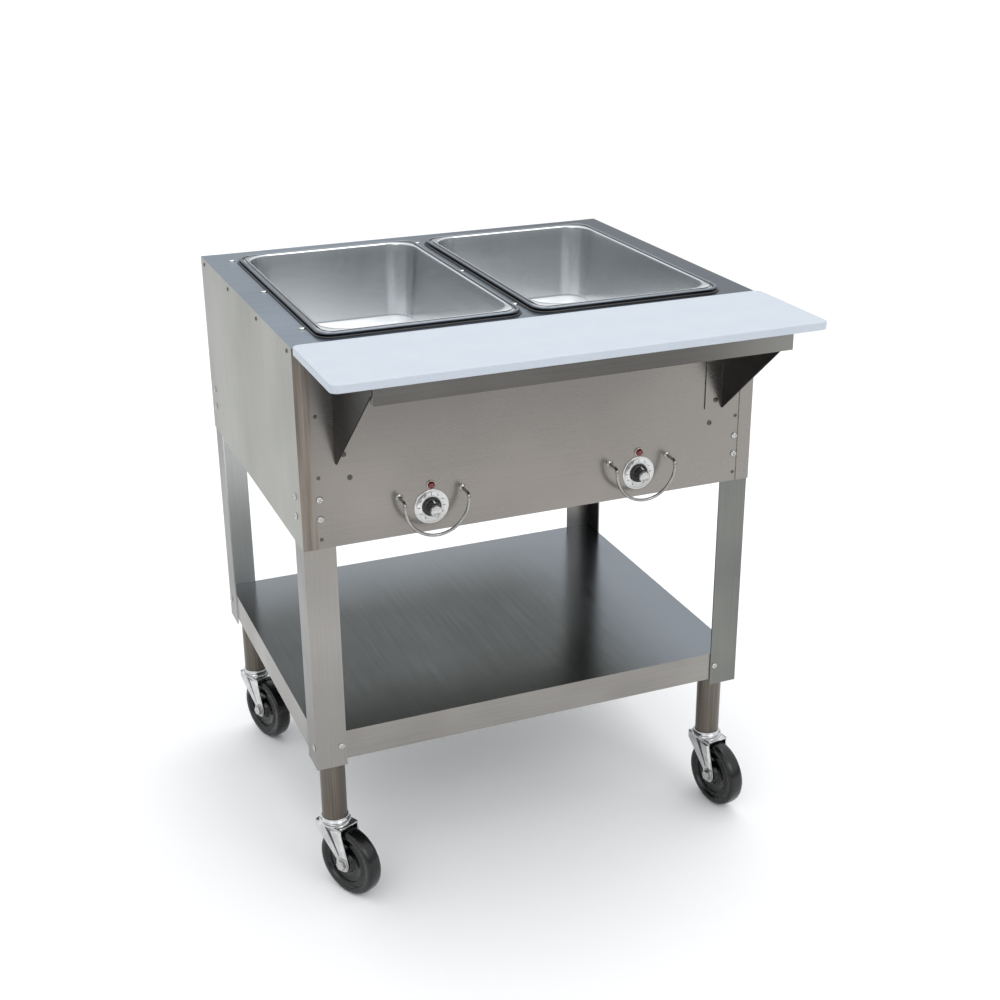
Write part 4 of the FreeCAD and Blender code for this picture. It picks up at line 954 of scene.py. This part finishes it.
NUT = [(9, 1.6), (9.4, 2.2), (9.4, 5.2), (8.6, 6), (2, 6.2)]
WIDE = FORK_IN + FORK_SHEET
RIB_FOOT = [(-8, 121), (31.5, 121), (42, 74), (23, 74)]
RIB_CREST = [(11, 119), (29, 119), (39.5, 76), (31, 76)]


def prism(bm, near, far, sides=None):
    """Closed shape between two outlines of the same length; sides gives a finish per side face."""
    a, b = [bm.verts.new(p) for p in near], [bm.verts.new(p) for p in far]
    bm.faces.new(a[::-1])
    bm.faces.new(b)
    for i in range(len(a)):
        after = (i + 1) % len(a)
        face = bm.faces.new((a[i], a[after], b[after], b[i]))
        face.material_index = sides[i] if sides else 0


def upright(outline, y):
    """The (x, z) outline in the plane at y, all in millimetres."""
    return [Vector((x * MM, y * MM, z * MM)) for x, z in outline]


def flat(outline, z):
    """The (x, y) outline at height z."""
    return [Vector((x * MM, y * MM, z * MM)) for x, y in outline]


def on_lug(face):
    """True on the front and back of the plated lug that joins a post to its leg."""
    return LUG_LOW < face.calc_center_median().z < LUG_HIGH and abs(face.normal.y) > 0.9


for corner in CORNERS:
    swivel, roll = joint_to["swivel_" + corner], joint_to["wheel_" + corner]
    post = Vector(swivel["pos_m"])
    trail = Vector(roll["pos_m"]) - post
    trail.z = 0
    turn = Matrix.Rotation(math.atan2(trail.y, trail.x), 4, "Z")
    heading = Matrix.Translation((post.x, post.y, 0)) @ turn
    bm = bmesh.new()
    for way in (-1, 1):
        out = way * WIDE
        prism(bm, upright(fork_outline, way * FORK_IN), upright(fork_outline, out))
        prism(bm, upright(RIB_FOOT, out - way * 0.5), upright(RIB_CREST, out + way * RIB_OUT),
              sides=[0, 0, 0, 1])
    crown = [(FORK_BACK, -WIDE), (FORK_FRONT, -WIDE), (FORK_FRONT, WIDE), (FORK_BACK, WIDE)]
    prism(bm, flat(crown, CROWN_FLOOR), flat(crown, FORK_TOP))
    turned(bm, in_metres(CROWN_CUP), UP, steps=48)
    bm.transform(heading)
    bmesh.ops.recalc_face_normals(bm, faces=bm.faces)
    fork = bevelled(object_from("stamped_fork_" + corner, bm, zinc, shaded_zinc), 0.6)
    place_piece(fork, "swivel_" + corner, ["caster_fork_" + corner])

    bm = bmesh.new()
    across = heading @ Matrix.Translation((EYE_X * MM, 0, EYE_Z * MM))
    shank = in_metres([(6, -23), (6, 23)])
    turned(bm, shank, across @ Matrix.Rotation(math.pi / 2, 4, "X"), steps=32)
    for way in (-1, 1):
        seat = Matrix.Translation((0, way * WIDE * MM, 0)) @ Matrix.Rotation(-way * math.pi / 2, 4, "X")
        turned(bm, in_metres(WASHER), across @ seat, steps=32)
        turned(bm, in_metres(NUT), across @ seat, steps=6, smooth=False)
    axle = bevelled(object_from("axle_bolt_" + corner, bm, screw_steel), 0.3)
    place_piece(axle, "swivel_" + corner, ["caster_axle_" + corner])
    eased("caster_stem_" + corner, zinc, 0.6)
    eased("caster_post_" + corner, post_steel, 0.5, others=[(zinc, on_lug)])
print("forks: 4, each leg", FORK_FRONT - FORK_BACK, "mm across at the top")

# %% [markdown]
# ## Pieces that stay as the frame made them
# The wells, the insulation, the heaters and the switches hide inside the cabinet, and their
# frame shapes are right as they are. They only need their finishes.

# %% Finishes for the inner pieces
def paint(node, material):
    mesh = frame["nodes"][node].data
    mesh.materials.clear()
    mesh.materials.append(material)


for side in ("left", "right"):
    paint("well_liner_" + side, liner_steel)
    paint("heating_element_" + side, sheath)
    paint("control_switch_" + side, phenolic)
    paint("knob_shaft_" + side, zinc)
paint("well_insulation", wool)
paint("terminal_box", galvanised)
print("inner pieces painted:", 10)

# %% [markdown]
# ## Floor, light and camera
# A wide pale floor and large soft lights give the even look of a catalogue shot, with only a
# faint shadow. Steel shows what it reflects, so the lights are placed by what each face
# looks at: the fronts look at the floor, and the deck, board and shelf look up and back.

# %% Stage
bm = bmesh.new()
bmesh.ops.create_grid(bm, x_segments=1, y_segments=1, size=60)
floor_paint, tree = new_material("matt_white_floor")
speck = add(tree, "ShaderNodeTexNoise", {"Scale": 3.0})
pale = mixed(tree, speck.outputs[0], linear("F7F7F7"), linear("FBFBFB"))
finish_material(tree, add(tree, "ShaderNodeBsdfPrincipled", {"Base Color": pale, "Roughness": 0.9}))
floor = object_from("studio_floor", bm, floor_paint)
floor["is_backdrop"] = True


def soft_light(name, place, aim, size, power):
    lamp = bpy.data.lights.new(name, "AREA")
    lamp.shape = "RECTANGLE"
    lamp.size = lamp.size_y = size
    lamp.energy = power
    thing = bpy.data.objects.new(name, lamp)
    thing.location = place
    thing.rotation_euler = (Vector(aim) - Vector(place)).to_track_quat("-Z", "Y").to_euler()
    COLLECTION.objects.link(thing)


soft_light("overhead", (0.3, 0.6, 3.6), (0, 0, 0.6), 2.6, 30)
soft_light("front_left", (-3.2, -3.4, 2.6), (0, 0, 0.5), 2.2, 22)
soft_light("front_high", (1.4, -4.0, 3.4), (0, 0, 0.8), 2.0, 40)
sun = bpy.data.lights.new("wide_sky", "SUN")
sun.energy = 2.3
sun.angle = math.radians(150)
COLLECTION.objects.link(bpy.data.objects.new("wide_sky", sun))
world = bpy.data.worlds.new("studio_air")
world.use_nodes = True
world.node_tree.nodes["Background"].inputs[0].default_value = linear("E9EEF5")
world.node_tree.nodes["Background"].inputs[1].default_value = 0.42
bpy.context.scene.world = world
bpy.context.scene.view_settings.view_transform = "Standard"
print("lights: 4, and the air")

# %% Camera
FOCAL_PER_WIDTH = 1.5146
AZIMUTH, ELEVATION, ROLL = -22.013, 22.561, -0.461
CAMERA_PLACE = Vector((-0.8913, -2.2513, 1.5830))
camera_data = bpy.data.cameras.new("camera")
camera_data.sensor_width = 36.0
camera_data.lens = FOCAL_PER_WIDTH * camera_data.sensor_width
camera_data.clip_end = 200
camera = bpy.data.objects.new("camera", camera_data)
az, el, roll = (math.radians(a) for a in (AZIMUTH, ELEVATION, ROLL))
ahead = Vector((-math.sin(az) * math.cos(el), math.cos(az) * math.cos(el), -math.sin(el)))
right = ahead.cross(Vector((0, 0, 1))).normalized()
up = right.cross(ahead)
level = math.cos(roll) * right + math.sin(roll) * up
upward = math.cos(roll) * up - math.sin(roll) * right
turn = Matrix((level, upward, -ahead)).transposed().to_4x4()
camera.matrix_world = Matrix.Translation(CAMERA_PLACE) @ turn
COLLECTION.objects.link(camera)
bpy.context.scene.camera = camera
print("camera is", round(camera.location.length, 2), "m away")

# %% [markdown]
# ## Check the size and hand over
# The dressed model's box, without the floor, is measured and printed.

# %% Size and finish
low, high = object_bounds()
print("dressed model measures", [round(b - a, 3) for a, b in zip(low, high)])
